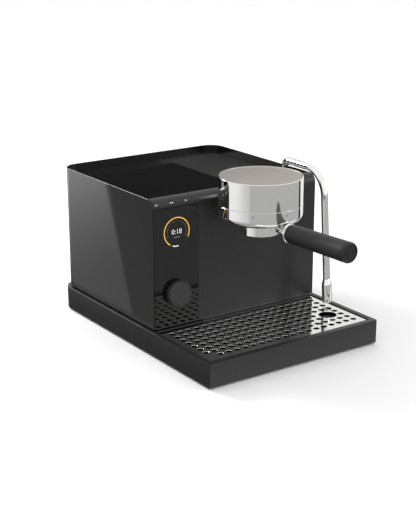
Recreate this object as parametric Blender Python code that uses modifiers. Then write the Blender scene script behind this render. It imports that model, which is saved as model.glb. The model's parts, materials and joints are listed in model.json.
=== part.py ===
"""Countertop espresso machine with a portafilter, a steam wand and a drip tray.

Sizes are in metres.  Inside the script X runs to the machine's right, Y to its back
with 0 at the casing's front face, and Z up with 0 at the base's lower edge.  The empty
"machine" carries that frame, so that the finished object stands on Z = 0 with its
origin under the middle of its outer box.
"""
import math

import bmesh
import bpy
from mathutils import Vector

# Placing of the whole machine
FRONT_Y = -0.01600            # casing's front face, measured from the middle of the outer box
FOOT_HEIGHT = 0.003

# Clearances
GAP = 0.0003                  # between pieces that touch
SLIDE_GAP = 0.0006            # between pieces that slide

# Casing
CASE_WIDTH = 0.320
CASE_DEPTH = 0.2936
CASE_BOTTOM = 0.0412
CASE_TOP = 0.2503
CASE_REAR_RADIUS = 0.028
SHEET = 0.0015                # thickness of the folded steel sheet
ROLL_RADIUS = 0.0145          # rolled front edge of the top
DIVIDER_X = 0.040             # between the tank's lid and the cup plate
LID_TOP = 0.2380
PLATE_TOP = 0.2360
DECK_TOP = 0.2337

# Base and drip tray
BASE_WIDTH = 0.3304
BASE_BACK = 0.2986
BASE_TOP = 0.0385
BASE_REAR_RADIUS = 0.031
BASE_WALL = 0.003
BASE_PLATE_TOP = 0.0018
TRAY_FRONT = -0.158
TRAY_BACK = 0.0080
TRAY_FLOOR = 0.0046           # top of the tray's floor
GRATE_WIDTH = 0.3114
GRATE_FRONT = -0.1475
GRATE_BACK = -0.0010
GRATE_TOP = 0.0368
GRATE_SHEET = 0.0012
GRATE_COLUMNS = 19
GRATE_ROWS = 8
GRATE_PITCH = 0.0155
GRATE_HOLE = 0.0050           # radius
FLOAT_X = 0.1177
FLOAT_Y = -0.0900
FLOAT_HOLE = 0.01475          # radius

# Control panel
GLASS_RIGHT = -0.0763
GLASS_TOP = 0.2345
GLASS_SHEET = 0.003
DISPLAY_X = -0.1165
DISPLAY_Z = 0.1950
KNOB_X = -0.1168
KNOB_Z = 0.0958
KNOB_RADIUS = 0.0210
KEY_XS = (-0.1528, -0.1245, -0.0982)
KEY_WIDTH = 0.0080
KEY_LOW, KEY_HIGH = 12.0, 42.0        # degrees round the roll, from the front face
KEY_THICKNESS = 0.0032

# Group head and portafilter
GROUP_X = -0.0059
GROUP_Y = -0.0675
GROUP_RADIUS = 0.0658
GROUP_TOP = 0.2828
GROUP_SEAM = 0.2399
GROUP_BOTTOM = 0.2137
GROUP_FILLET = 0.012
NECK_WIDTH = 0.060
NECK_LOW, NECK_HIGH = 0.2168, 0.2300
BOWL_BOTTOM = 0.1925
BOWL_TOP = 0.2340
HANDLE_Z = 0.2062
HANDLE_ANGLE = 3.2            # degrees, from straight ahead towards the right
UNLOCK_ANGLE = -47.0          # where the ears leave the lock ring
FLARE_START = 0.0420          # distances along the handle from the group's axis
FLARE_END = 0.0655
COLLAR_START = 0.0668
GRIP_START = 0.0718
CAP_START = 0.1930
HANDLE_END = 0.1987
COLLAR_RADIUS = 0.0146
GRIP_NEAR_RADIUS = 0.0144
GRIP_END_RADIUS = 0.0158

# Steam wand
WAND_X = 0.1470
WAND_Y = 0.0647
WAND_RADIUS = 0.0059
WAND_HOLE = 0.0085            # radius of the hole it comes up through
WAND_ARM_Z = 0.2629
WAND_LEAN = 4.7               # degrees from upright
WAND_FOOT_Y = -0.0543
WAND_FOOT_Z = 0.0420
WAND_TIP_LENGTH = 0.0410
WAND_TIP_RADIUS = 0.0083


# ---------------------------------------------------------------- scene and materials

def clear_scene():
    for obj in list(bpy.data.objects):
        bpy.data.objects.remove(obj, do_unlink=True)


def new_collection(name):
    found = bpy.data.collections.new(name)
    bpy.context.scene.collection.children.link(found)
    return found


clear_scene()
PARTS = new_collection("espresso_machine")
CUTTERS = new_collection("cutters")


def make_empty(name, location, parent=None):
    empty = bpy.data.objects.new(name, None)
    empty.location = location
    empty.parent = parent
    PARTS.objects.link(empty)
    return empty


MACHINE = make_empty("machine", (0.0, FRONT_Y, FOOT_HEIGHT))


def make_material(name, colour, roughness, metallic=0.0):
    material = bpy.data.materials.new(name)
    material.use_nodes = True
    shader = material.node_tree.nodes["Principled BSDF"]
    shader.inputs["Base Color"].default_value = (*colour, 1.0)
    shader.inputs["Roughness"].default_value = roughness
    shader.inputs["Metallic"].default_value = metallic
    return material


FINISHES = {
    "black_sheet": ((0.020, 0.020, 0.020), 0.35, 0.0),
    "black_plastic": ((0.022, 0.022, 0.022), 0.45, 0.0),
    "frame_plastic": ((0.030, 0.030, 0.030), 0.60, 0.0),
    "glass": ((0.010, 0.010, 0.010), 0.05, 0.0),
    "chrome": ((0.80, 0.80, 0.80), 0.06, 1.0),
    "brushed_steel": ((0.55, 0.53, 0.50), 0.30, 1.0),
    "satin_grip": ((0.030, 0.030, 0.030), 0.50, 0.0),
    "rubber": ((0.015, 0.015, 0.015), 0.80, 0.0),
    "clear_plastic": ((0.50, 0.55, 0.58), 0.15, 0.0),
    "zinc_steel": ((0.45, 0.45, 0.46), 0.40, 1.0),
    "brass": ((0.60, 0.45, 0.20), 0.30, 1.0),
    "circuit_board": ((0.02, 0.12, 0.05), 0.50, 0.0),
    "white_hose": ((0.70, 0.70, 0.68), 0.50, 0.0),
}


# ---------------------------------------------------------------- shape tools

def add_part(name, mesh, finish, location=(0, 0, 0), rotation=(0, 0, 0), parent=MACHINE):
    """Puts a mesh into the model as a named sub-part with its own material."""
    part = bpy.data.objects.new(name, mesh)
    part.location = location
    part.rotation_euler = rotation
    part.parent = parent
    mesh.materials.clear()
    mesh.materials.append(make_material(name + "_" + finish, *FINISHES[finish]))
    PARTS.objects.link(part)
    return part


def add_tool(name, mesh, location=(0, 0, 0), rotation=(0, 0, 0), parent=MACHINE):
    """Adds a helper solid that cuts or joins another one and isn't part of the model."""
    tool = bpy.data.objects.new(name, mesh)
    tool.location = location
    tool.rotation_euler = rotation
    tool.parent = parent
    tool.hide_render = True
    tool.display_type = 'WIRE'
    CUTTERS.objects.link(tool)
    return tool


def combine(part, tool, operation='DIFFERENCE'):
    boolean = part.modifiers.new(operation.lower(), 'BOOLEAN')
    boolean.operation = operation
    boolean.solver = 'EXACT'
    boolean.object = tool


def soften(part, width, segments=1):
    bevel = part.modifiers.new("soft_edges", 'BEVEL')
    bevel.width = width
    bevel.segments = segments
    bevel.limit_method = 'ANGLE'
    bevel.angle_limit = math.radians(40)


def finish_mesh(source, name, smooth_angle=35):
    mesh = bpy.data.meshes.new(name)
    source.to_mesh(mesh)
    source.free()
    mesh.shade_smooth()
    mesh.set_sharp_from_angle(angle=math.radians(smooth_angle))
    return mesh


def block(size_x, size_y, size_z):
    source = bmesh.new()
    bmesh.ops.create_cube(source, size=1.0)
    bmesh.ops.scale(source, vec=(size_x, size_y, size_z), verts=source.verts)
    return finish_mesh(source, "block")


def span(low, high):
    """Middle and length of a stretch."""
    return (low + high) / 2, high - low


def add_block(name, x_span, y_span, z_span, finish=None):
    """A box between two limits on each axis: a part, or a tool where no finish is given."""
    middles, lengths = zip(*(span(*limits) for limits in (x_span, y_span, z_span)))
    if finish:
        return add_part(name, block(*lengths), finish, middles)
    return add_tool(name, block(*lengths), middles)


def rod(radius, length, segments=24, top_radius=None):
    source = bmesh.new()
    bmesh.ops.create_cone(source, cap_ends=True, segments=segments, radius1=radius,
                          radius2=radius if top_radius is None else top_radius, depth=length)
    return finish_mesh(source, "rod")


def turned(points, closed=False):
    """A mesh profile in the XZ plane; turn() makes it a solid."""
    mesh = bpy.data.meshes.new("profile")
    edges = [(i, i + 1) for i in range(len(points) - 1)]
    if closed:
        edges.append((len(points) - 1, 0))
    mesh.from_pydata([(radius, 0.0, height) for radius, height in points], edges, [])
    return mesh


def turn(part, steps=32):
    screw = part.modifiers.new("turn", 'SCREW')
    screw.axis = 'Z'
    screw.angle = math.tau
    screw.steps = steps
    screw.render_steps = steps
    screw.use_merge_vertices = True
    screw.merge_threshold = 0.00001
    screw.use_smooth_shade = True
    return part


def add_turned(name, points, finish, location=(0, 0, 0), rotation=(0, 0, 0),
               parent=MACHINE, closed=False, steps=32):
    return turn(add_part(name, turned(points, closed), finish, location, rotation, parent), steps)


def curve_to_mesh(curve, name):
    """Makes a curve's evaluated shape a mesh with its caps welded on."""
    holder = bpy.data.objects.new(name, curve)
    CUTTERS.objects.link(holder)
    evaluated = holder.evaluated_get(bpy.context.evaluated_depsgraph_get())
    mesh = bpy.data.meshes.new_from_object(evaluated)
    bpy.data.objects.remove(holder)
    source = bmesh.new()
    source.from_mesh(mesh)
    bmesh.ops.remove_doubles(source, verts=source.verts, dist=0.000001)
    source.to_mesh(mesh)
    source.free()
    mesh.name = name
    mesh.shade_smooth()
    mesh.set_sharp_from_angle(angle=math.radians(35))
    return mesh


def slab(outlines, thickness):
    """A flat plate in the XY plane: the first outline is its edge, the others are holes."""
    curve = bpy.data.curves.new("outline", 'CURVE')
    curve.dimensions = '2D'
    curve.fill_mode = 'BOTH'
    curve.extrude = thickness / 2
    for outline in outlines:
        spline = curve.splines.new('POLY')
        spline.points.add(len(outline) - 1)
        for point, (x, y) in zip(spline.points, outline):
            point.co = (x, y, 0.0, 1.0)
        spline.use_cyclic_u = True
    return curve_to_mesh(curve, "slab")


def pipe(points, radius, resolution=2):
    """A round tube or rod along a route, with closed ends."""
    curve = bpy.data.curves.new("route", 'CURVE')
    curve.dimensions = '3D'
    curve.bevel_depth = radius
    curve.bevel_resolution = resolution
    curve.use_fill_caps = True
    spline = curve.splines.new('POLY')
    spline.points.add(len(points) - 1)
    for point, place in zip(spline.points, points):
        point.co = (*place, 1.0)
    return curve_to_mesh(curve, "pipe")


def arc(centre, radius, start, stop, count):
    """Points along an arc in a plane, angles in degrees."""
    step = (stop - start) / count
    return [(centre[0] + radius * math.cos(math.radians(start + step * i)),
             centre[1] + radius * math.sin(math.radians(start + step * i)))
            for i in range(count + 1)]


def circle(centre, radius, sides):
    return arc(centre, radius, 0, 360, sides)[:-1]


def rounded(x_span, y_span, front_radius, rear_radius, count=6):
    """A rectangle's outline with round corners, anticlockwise from the front left."""
    (left, right), (front, rear) = x_span, y_span
    corners = ((left, front, 1, 1, front_radius, 180), (right, front, -1, 1, front_radius, 270),
               (right, rear, -1, -1, rear_radius, 0), (left, rear, 1, -1, rear_radius, 90))
    points = []
    for x, y, to_x, to_y, radius, start in corners:
        if radius == 0:
            points.append((x, y))
        else:
            middle = (x + to_x * radius, y + to_y * radius)
            points += arc(middle, radius, start, start + 90, count)
    return points


# Turns that lay a slab's XY plane and its thickness into the machine
UPRIGHT_FRONT = (math.radians(90), 0.0, 0.0)                  # in XZ, thickness along Y
UPRIGHT_SIDE = (math.radians(90), 0.0, math.radians(90))      # in YZ, thickness along X


# ---------------------------------------------------------------- base and feet

def make_base():
    outer_x = (-BASE_WIDTH / 2, BASE_WIDTH / 2)
    outline = rounded(outer_x, (TRAY_BACK + GAP, BASE_BACK), 0, BASE_REAR_RADIUS)
    base = add_part("base_shell", slab([outline], BASE_TOP), "black_plastic",
                    (0, 0, BASE_TOP / 2))
    inner_x = (outer_x[0] + BASE_WALL, outer_x[1] - BASE_WALL)
    inner_y = (TRAY_BACK + BASE_WALL, BASE_BACK - BASE_WALL)
    hollow = slab([rounded(inner_x, inner_y, 0, BASE_REAR_RADIUS - BASE_WALL)], BASE_TOP)
    combine(base, add_tool("base_hollow", hollow, (0, 0, BASE_TOP / 2 - BASE_WALL)))
    combine(base, add_block("base_plate_slot", inner_x, (TRAY_BACK - 0.002, inner_y[0] + 0.002),
                            (-0.002, BASE_PLATE_TOP + GAP)))
    seal_low, seal_high = BASE_TOP + GAP, CASE_BOTTOM - GAP
    inset = 0.004
    seal_x = (-CASE_WIDTH / 2 + inset, CASE_WIDTH / 2 - inset)
    seal_y = (0.012, CASE_DEPTH - inset)
    width = 0.008
    outer = rounded(seal_x, seal_y, 0, CASE_REAR_RADIUS - inset)
    inner = rounded((seal_x[0] + width, seal_x[1] - width),
                    (seal_y[0] + width, seal_y[1] - width), 0, CASE_REAR_RADIUS - inset - width)
    add_part("casing_seal", slab([outer, inner], seal_high - seal_low), "rubber",
             (0, 0, (seal_low + seal_high) / 2))


def make_base_plate():
    """Steel sheet that closes the base below and carries the drip tray in front."""
    side = BASE_WIDTH / 2 - BASE_WALL - SLIDE_GAP
    outline = rounded((-side, side), (TRAY_FRONT + 0.006, BASE_BACK - 0.0038),
                      0.004, BASE_REAR_RADIUS - 0.0034)
    low = GAP
    add_part("base_plate", slab([outline], BASE_PLATE_TOP - low), "zinc_steel",
             (0, 0, (low + BASE_PLATE_TOP) / 2))


def make_feet():
    foot = rod(0.0105, FOOT_HEIGHT, 16, 0.0120)
    for side, x in (("left", -0.135), ("right", 0.135)):
        for end, y in (("front", -0.130), ("rear", 0.262)):
            add_part("foot_" + end + "_" + side, foot.copy(), "rubber",
                     (x, y, -FOOT_HEIGHT / 2))


# ---------------------------------------------------------------- drip tray

def make_drip_tray():
    """Deep tray with a ledge that carries the grate, open below where it runs on the plate."""
    side = BASE_WIDTH / 2
    outline = rounded((-side, side), (TRAY_FRONT, TRAY_BACK), 0.0025, 0, 3)
    tray = add_part("drip_tray", slab([outline], BASE_TOP), "black_plastic",
                    (0, 0, BASE_TOP / 2))
    ledge = 0.005
    grate_side = GRATE_WIDTH / 2 + GAP
    combine(tray, add_block("tray_rebate", (-grate_side, grate_side),
                            (GRATE_FRONT - GAP, GRATE_BACK + GAP),
                            (GRATE_TOP - GRATE_SHEET - GAP, BASE_TOP + 0.002)))
    combine(tray, add_block("tray_well", (-grate_side + ledge, grate_side - ledge),
                            (GRATE_FRONT + ledge, GRATE_BACK - ledge),
                            (TRAY_FLOOR, BASE_TOP + 0.002)))
    under = BASE_WIDTH / 2 - BASE_WALL
    combine(tray, add_block("tray_underside", (-under, under), (TRAY_FRONT + 0.005, 0.02),
                            (-0.002, BASE_PLATE_TOP + GAP)))


def grate_hole_places():
    """The hole pattern, left out where the float comes through and in one plain corner."""
    middle_row = (GRATE_FRONT + GRATE_BACK) / 2
    for column in range(GRATE_COLUMNS):
        for row in range(GRATE_ROWS):
            x = (column - (GRATE_COLUMNS - 1) / 2) * GRATE_PITCH
            y = middle_row + (row - (GRATE_ROWS - 1) / 2) * GRATE_PITCH
            by_float = math.hypot(x - FLOAT_X, y - FLOAT_Y) < FLOAT_HOLE + GRATE_HOLE
            if not by_float and (column, row) != (0, 0):
                yield x, y


def make_grate():
    """Punched sheet with one large hole for the float."""
    side = GRATE_WIDTH / 2
    outlines = [rounded((-side, side), (GRATE_FRONT, GRATE_BACK), 0, 0)]
    outlines += [circle(place, GRATE_HOLE, 8) for place in grate_hole_places()]
    outlines.append(circle((FLOAT_X, FLOAT_Y), FLOAT_HOLE, 20))
    add_part("drip_grate", slab(outlines, GRATE_SHEET), "brushed_steel",
             (0, 0, GRATE_TOP - GRATE_SHEET / 2))


def make_float():
    """Ring float that climbs its post and shows in the grate when the tray is full."""
    pin, base, base_top, pin_top = 0.0020, 0.0060, TRAY_FLOOR + 0.0020, 0.0300
    add_turned("float_post", [(0, pin_top), (pin, pin_top), (pin, base_top), (base, base_top),
                              (base, TRAY_FLOOR + GAP), (0, TRAY_FLOOR + GAP)],
               "black_plastic", (FLOAT_X, FLOAT_Y, 0), steps=12)
    bore, outer, low, high, chamfer = pin + SLIDE_GAP, 0.0128, base_top + GAP, 0.0314, 0.0010
    add_turned("tray_float", [(bore, high), (outer - chamfer, high), (outer, high - chamfer),
                              (outer, low), (bore, low)],
               "black_plastic", (FLOAT_X, FLOAT_Y, 0), closed=True, steps=20)


# ---------------------------------------------------------------- casing

def make_casing():
    """Folded sheet round the left, rear and right sides."""
    side = CASE_WIDTH / 2
    outer = [(side, 0.0)]
    outer += arc((side - CASE_REAR_RADIUS, CASE_DEPTH - CASE_REAR_RADIUS),
                 CASE_REAR_RADIUS, 0, 90, 8)
    outer += arc((-side + CASE_REAR_RADIUS, CASE_DEPTH - CASE_REAR_RADIUS),
                 CASE_REAR_RADIUS, 90, 180, 8)
    outer.append((-side, 0.0))
    inner_radius = CASE_REAR_RADIUS - SHEET
    inner = [(-side + SHEET, 0.0)]
    inner += arc((-side + CASE_REAR_RADIUS, CASE_DEPTH - CASE_REAR_RADIUS),
                 inner_radius, 180, 90, 8)
    inner += arc((side - CASE_REAR_RADIUS, CASE_DEPTH - CASE_REAR_RADIUS),
                 inner_radius, 90, 0, 8)
    inner.append((side - SHEET, 0.0))
    height = CASE_TOP - CASE_BOTTOM
    casing = add_part("casing_shell", slab([outer + inner], height), "black_sheet",
                      (0, 0, CASE_BOTTOM + height / 2))
    centre = (ROLL_RADIUS, CASE_TOP - ROLL_RADIUS)
    corner = [(-0.002, CASE_TOP + 0.002), (-0.002, centre[1] - 0.002), (0.0, centre[1] - 0.002)]
    corner += arc(centre, ROLL_RADIUS, 180, 90, 8)
    corner += [(ROLL_RADIUS + 0.001, CASE_TOP), (ROLL_RADIUS + 0.001, CASE_TOP + 0.002)]
    combine(casing, add_tool("casing_corner", slab([corner], CASE_WIDTH + 0.02),
                             (0, 0, 0), UPRIGHT_SIDE))
    rear = (CASE_DEPTH - 0.004, CASE_DEPTH + 0.004)
    combine(casing, add_block("inlet_cutout", (0.0865, 0.1135), rear, (0.1110, 0.1310)))
    vents = 6
    for i in range(vents):
        low = 0.160 + 0.0075 * i
        combine(casing, add_block("vent_cutter_%d" % (i + 1), (0.040, 0.110), rear,
                                  (low, low + 0.003)))


def roll_section(inner_offset, start, stop, count):
    """Arc of the rolled edge in YZ, measured in degrees up from the front face."""
    centre = (ROLL_RADIUS, CASE_TOP - ROLL_RADIUS)
    return arc(centre, ROLL_RADIUS - inner_offset, 180 - start, 180 - stop, count)


def make_front_panel():
    """Front sheet with its rolled top edge, open at the left for the glass."""
    lip_back = ROLL_RADIUS + 0.0020
    lip_low = LID_TOP + GAP
    section = [(0.0, CASE_BOTTOM)]
    section += [(SHEET, CASE_BOTTOM)]
    section += roll_section(SHEET, 0, 90, 8)
    section += [(lip_back - SHEET, CASE_TOP - SHEET), (lip_back - SHEET, lip_low),
                (lip_back, lip_low), (lip_back, CASE_TOP)]
    section += roll_section(0.0, 90, 0, 8)
    width = CASE_WIDTH - 2 * (SHEET + GAP)
    panel = add_part("front_panel", slab([section], width), "black_sheet",
                     (0, 0, 0), UPRIGHT_SIDE)
    combine(panel, add_block("glass_window", (-0.2, GLASS_RIGHT + GAP), (-0.005, 0.008),
                             (0.03, GLASS_TOP + 0.0010)))
    margin = 0.0015
    combine(panel, add_block("neck_window",
                             (GROUP_X - NECK_WIDTH / 2 - margin, GROUP_X + NECK_WIDTH / 2 + margin),
                             (-0.005, 0.008), (NECK_LOW - margin, NECK_HIGH + margin)))
    spread = math.degrees(GAP / ROLL_RADIUS)
    opening = roll_section(-0.002, KEY_LOW - spread, KEY_HIGH + spread, 4)
    opening += roll_section(0.006, KEY_HIGH + spread, KEY_LOW - spread, 4)
    for i, x in enumerate(KEY_XS):
        combine(panel, add_tool("key_window_%d" % (i + 1), slab([opening], KEY_WIDTH + 2 * GAP),
                                (x, 0, 0), UPRIGHT_SIDE))


def make_glass():
    left = -CASE_WIDTH / 2 + SHEET + GAP
    low = CASE_BOTTOM
    outline = rounded((left, GLASS_RIGHT), (low, GLASS_TOP), 0, 0)
    hole = circle((KNOB_X, KNOB_Z), 0.0040, 16)
    add_part("glass_panel", slab([outline, hole], GLASS_SHEET), "glass",
             (0, GLASS_SHEET / 2, 0), UPRIGHT_FRONT)


def make_control_frame():
    """Moulded carrier behind the glass for the display, the encoder and the keys."""
    left = -CASE_WIDTH / 2 + SHEET + 2 * GAP
    right = GLASS_RIGHT + 0.006
    front, back = GLASS_SHEET + GAP, 0.016
    frame = add_block("control_frame", (left, right), (front, back),
                      (CASE_BOTTOM + 0.002, 0.2300), "frame_plastic")
    combine(frame, add_tool("display_seat", rod(0.0275, 0.04, 32),
                            (DISPLAY_X, back, DISPLAY_Z), UPRIGHT_FRONT))
    combine(frame, add_block("encoder_seat", (KNOB_X - 0.010, KNOB_X + 0.010),
                             (0.0, 0.03), (KNOB_Z - 0.010, KNOB_Z + 0.010)))


def make_display():
    add_part("display_module", rod(0.0268, 0.007, 32),
             "glass", (DISPLAY_X, GLASS_SHEET + GAP + 0.0035, DISPLAY_Z), UPRIGHT_FRONT)


def make_keys():
    """Three push keys set flush into the rolled edge, each pushed square to the roll."""
    outline = roll_section(0.0, KEY_LOW, KEY_HIGH, 4)
    outline += roll_section(KEY_THICKNESS, KEY_HIGH, KEY_LOW, 4)
    for name, x in zip(("left", "middle", "right"), KEY_XS):
        add_part("key_" + name, slab([outline], KEY_WIDTH), "black_plastic",
                 (x, 0, 0), UPRIGHT_SIDE)
    middle = math.radians((KEY_LOW + KEY_HIGH) / 2)
    reach = ROLL_RADIUS - KEY_THICKNESS - 0.0016
    board_x, board_width = span(KEY_XS[0] - 0.004, KEY_XS[-1] + 0.012)
    place = (board_x, ROLL_RADIUS - reach * math.cos(middle),
             CASE_TOP - ROLL_RADIUS + reach * math.sin(middle))
    add_part("key_board", block(board_width, 0.0008, 0.0060), "circuit_board", place,
             (-middle, 0, 0))


def make_knob():
    """Knob with its push shaft through the glass and the encoder that the shaft turns."""
    place = (KNOB_X, 0, KNOB_Z)
    face, back = 0.0118, 0.0012
    knob = [(0, face - 0.0004), (0.0185, face - 0.0004), (0.0190, face), (0.0200, face),
            (KNOB_RADIUS, face - 0.0010), (KNOB_RADIUS, back), (0.0033, back),
            (0.0033, 0.0084), (0, 0.0084)]
    add_turned("control_knob", knob, "satin_grip", place, UPRIGHT_FRONT, steps=36)
    add_turned("knob_shaft", [(0, 0.0080), (0.0030, 0.0080), (0.0030, -0.0100), (0, -0.0100)],
               "zinc_steel", place, UPRIGHT_FRONT, steps=16)
    encoder = add_block("knob_encoder", (KNOB_X - 0.0095, KNOB_X + 0.0095), (0.0045, 0.0150),
                        (KNOB_Z - 0.0095, KNOB_Z + 0.0095), "zinc_steel")
    combine(encoder, add_tool("encoder_bore", rod(0.0034, 0.0160, 16),
                              (KNOB_X, 0.0045, KNOB_Z), UPRIGHT_FRONT))


# ---------------------------------------------------------------- top

def make_deck():
    """Inner frame under the top's recess, open over the tank and round the wand."""
    side = CASE_WIDTH / 2 - SHEET - 2 * GAP
    y_span = (ROLL_RADIUS + 0.0024, CASE_DEPTH - SHEET - 2 * GAP)
    low = 0.2310
    tank_opening = rounded((-0.1525, 0.0225), (0.1275, 0.2875), 0.020, 0.022, 4)
    outlines = [rounded((-side, side), y_span, 0, CASE_REAR_RADIUS - SHEET - 2 * GAP),
                tank_opening, circle((WAND_X, WAND_Y), WAND_HOLE, 16)]
    add_part("deck_frame", slab(outlines, DECK_TOP - low), "frame_plastic",
             (0, 0, (DECK_TOP + low) / 2))
    plate_low = DECK_TOP + GAP
    wand_hole = circle((WAND_X, WAND_Y), WAND_HOLE, 16)
    add_part("cup_plate", slab([right_panel(side, y_span), wand_hole], PLATE_TOP - plate_low),
             "brushed_steel",
             (0, 0, (PLATE_TOP + plate_low) / 2))


def right_panel(side, y_span):
    radius = CASE_REAR_RADIUS - SHEET - 2 * GAP
    front, rear = y_span
    outline = [(DIVIDER_X + GAP, front), (side, front)]
    outline += arc((side - radius, rear - radius), radius, 0, 90, 6)
    outline.append((DIVIDER_X + GAP, rear))
    return outline


def left_panel(side, y_span, radius, right):
    front, rear = y_span
    outline = [(right, front)]
    outline.append((right, rear))
    outline += arc((-side + radius, rear - radius), radius, 90, 180, 6)
    outline.append((-side, front))
    return outline


def make_tank_lid(parent):
    side = CASE_WIDTH / 2 - SHEET - 2 * GAP
    y_span = (ROLL_RADIUS + 0.0024, CASE_DEPTH - SHEET - 2 * GAP)
    radius = CASE_REAR_RADIUS - SHEET - 2 * GAP
    low = DECK_TOP + GAP
    thickness, rim = 0.0020, 0.0030
    lid = add_part("tank_lid", slab([left_panel(side, y_span, radius, DIVIDER_X - GAP)],
                                    LID_TOP - low),
                   "black_sheet", (0, 0, (LID_TOP + low) / 2), parent=parent)
    inner = left_panel(side - rim, (y_span[0] + rim, y_span[1] - rim), radius - rim,
                       DIVIDER_X - GAP - rim)
    combine(lid, add_tool("lid_hollow", slab([inner], LID_TOP - low),
                          (0, 0, (LID_TOP + low) / 2 - thickness), parent=parent))


# ---------------------------------------------------------------- water system

def make_water_tank(parent):
    wall = 0.0025
    low, high = 0.0500, 0.2325
    x_span, y_span = (-0.1490, 0.0190), (0.1310, 0.2840)
    outline = rounded(x_span, y_span, 0.018, 0.020, 4)
    tank = add_part("water_tank", slab([outline], high - low), "clear_plastic",
                    (0, 0, (low + high) / 2), parent=parent)
    inner = rounded((x_span[0] + wall, x_span[1] - wall), (y_span[0] + wall, y_span[1] - wall),
                    0.0155, 0.0175, 4)
    combine(tank, add_tool("tank_hollow", slab([inner], high - low),
                           (0, 0, (low + high) / 2 + wall), parent=parent))
    valve_place = (-0.030, 0.200, 0)
    add_turned("tank_valve", [(0, 0.0497), (0.0120, 0.0497), (0.0120, 0.0487),
                              (0.0080, 0.0487), (0.0080, 0.0425), (0, 0.0425)],
               "black_plastic", valve_place, parent=parent, steps=16)
    add_turned("tank_seat", [(0.0140, 0.0482), (0.0140, 0.0410), (0.0190, 0.0405),
                             (0.0190, BASE_TOP + GAP), (0.0086, BASE_TOP + GAP),
                             (0.0086, 0.0482)],
               "black_plastic", valve_place, closed=True, steps=16)


def make_pump():
    """Vibration pump lying front to back, on a rubber bracket that stands on the base."""
    x, y, z = 0.100, 0.195, 0.084
    length, radius = 0.095, 0.024
    bracket_width, bracket_depth = 0.040, 0.060
    add_part("pump", rod(radius, length, 24), "zinc_steel", (x, y, z), UPRIGHT_FRONT)
    add_block("pump_bracket", (x - bracket_width / 2, x + bracket_width / 2),
              (y - bracket_depth / 2, y + bracket_depth / 2),
              (BASE_TOP + GAP, z - radius - GAP), "rubber")


def make_boiler():
    """Brew boiler behind the group, heater block for steam, and the valve between them."""
    add_turned("boiler", [(0, 0.2100), (0.0340, 0.2100), (0.0400, 0.2040), (0.0400, 0.1060),
                          (0.0340, 0.1000), (0, 0.1000)],
               "brushed_steel", (GROUP_X, 0.075, 0), steps=28)
    soften(add_block("steam_heater", (0.080, 0.145), (0.030, 0.080), (0.110, 0.190),
                     "zinc_steel"), 0.004)
    soften(add_block("solenoid_valve", (0.040, 0.066), (0.060, 0.090), (0.135, 0.185),
                     "brass"), 0.002)
    add_block("chassis_plate", (-0.066, 0.150), (0.0035, 0.0055),
              (BASE_TOP + GAP, NECK_LOW - 0.004), "zinc_steel")


def smooth_route(points, per_span=3):
    """Points of an even curve through a few given places."""
    places = [Vector(point) for point in points]
    places = [2 * places[0] - places[1]] + places + [2 * places[-1] - places[-2]]
    route = []
    for i in range(1, len(places) - 2):
        before, start, stop, after = places[i - 1:i + 3]
        for step in range(per_span):
            t = step / per_span
            route.append(0.5 * (2 * start + (stop - before) * t
                                + (2 * before - 5 * start + 4 * stop - after) * t ** 2
                                + (3 * start - before - 3 * stop + after) * t ** 3))
    route.append(places[-2])
    return route


def make_hoses():
    """Hoses from tank to pump, pump to valve, and steam heater to wand."""
    silicone, feed = 0.0040, 0.0022
    routes = {
        "tank_hose": (silicone, [(-0.009, 0.200, 0.0445), (0.015, 0.205, 0.0445),
                                 (0.050, 0.262, 0.050), (0.085, 0.275, 0.075),
                                 (0.100, 0.262, 0.084), (0.100, 0.2432, 0.084)]),
        "feed_hose": (feed, [(0.100, 0.1470, 0.084), (0.098, 0.130, 0.086),
                             (0.075, 0.105, 0.095), (0.053, 0.080, 0.108),
                             (0.053, 0.075, 0.121), (0.053, 0.075, 0.1345)]),
        "steam_hose": (feed, [(0.110, 0.055, 0.1905), (0.110, 0.055, 0.198),
                              (0.128, 0.060, 0.204), (WAND_X, WAND_Y, 0.210),
                              (WAND_X, WAND_Y, 0.2200)]),
    }
    for name, (radius, points) in routes.items():
        add_part(name, pipe(smooth_route(points), radius), "white_hose")


# ---------------------------------------------------------------- electrics

def make_electrics():
    """Two circuit boards, and the mains inlet whose flange sits on the rear of the casing."""
    add_block("main_board", (-0.150, -0.070), (0.0240, 0.0256), (0.060, 0.220), "circuit_board")
    add_block("power_board", (0.1530, 0.1546), (0.120, 0.240), (0.110, 0.210), "circuit_board")
    inlet = add_block("power_inlet", (0.0870, 0.1130), (0.2700, CASE_DEPTH), (0.1115, 0.1305),
                      "black_plastic")
    flange = add_block("inlet_flange", (0.0780, 0.1220), (CASE_DEPTH + GAP, CASE_DEPTH + 0.0022),
                       (0.1060, 0.1360))
    combine(inlet, add_block("inlet_join", (0.0870, 0.1130), (CASE_DEPTH - 0.001, CASE_DEPTH + 0.001),
                             (0.1115, 0.1305)), 'UNION')
    combine(inlet, flange, 'UNION')
    combine(inlet, add_block("inlet_socket", (0.0895, 0.1105), (0.2780, CASE_DEPTH + 0.01),
                             (0.1145, 0.1275)))


def make_casing_screws():
    """Two domed screws that hold the casing at its lower rear corners."""
    head = [(0, 0.0016), (0.0022, 0.0014), (0.0035, 0.0006), (0.0035, 0.0), (0, 0.0)]
    back = (math.radians(-90), 0, 0)
    for name, x in (("left", -0.125), ("right", 0.125)):
        add_turned("casing_screw_" + name, head, "zinc_steel", (x, CASE_DEPTH + GAP, 0.052),
                   back, steps=12)


# ---------------------------------------------------------------- group head

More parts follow.
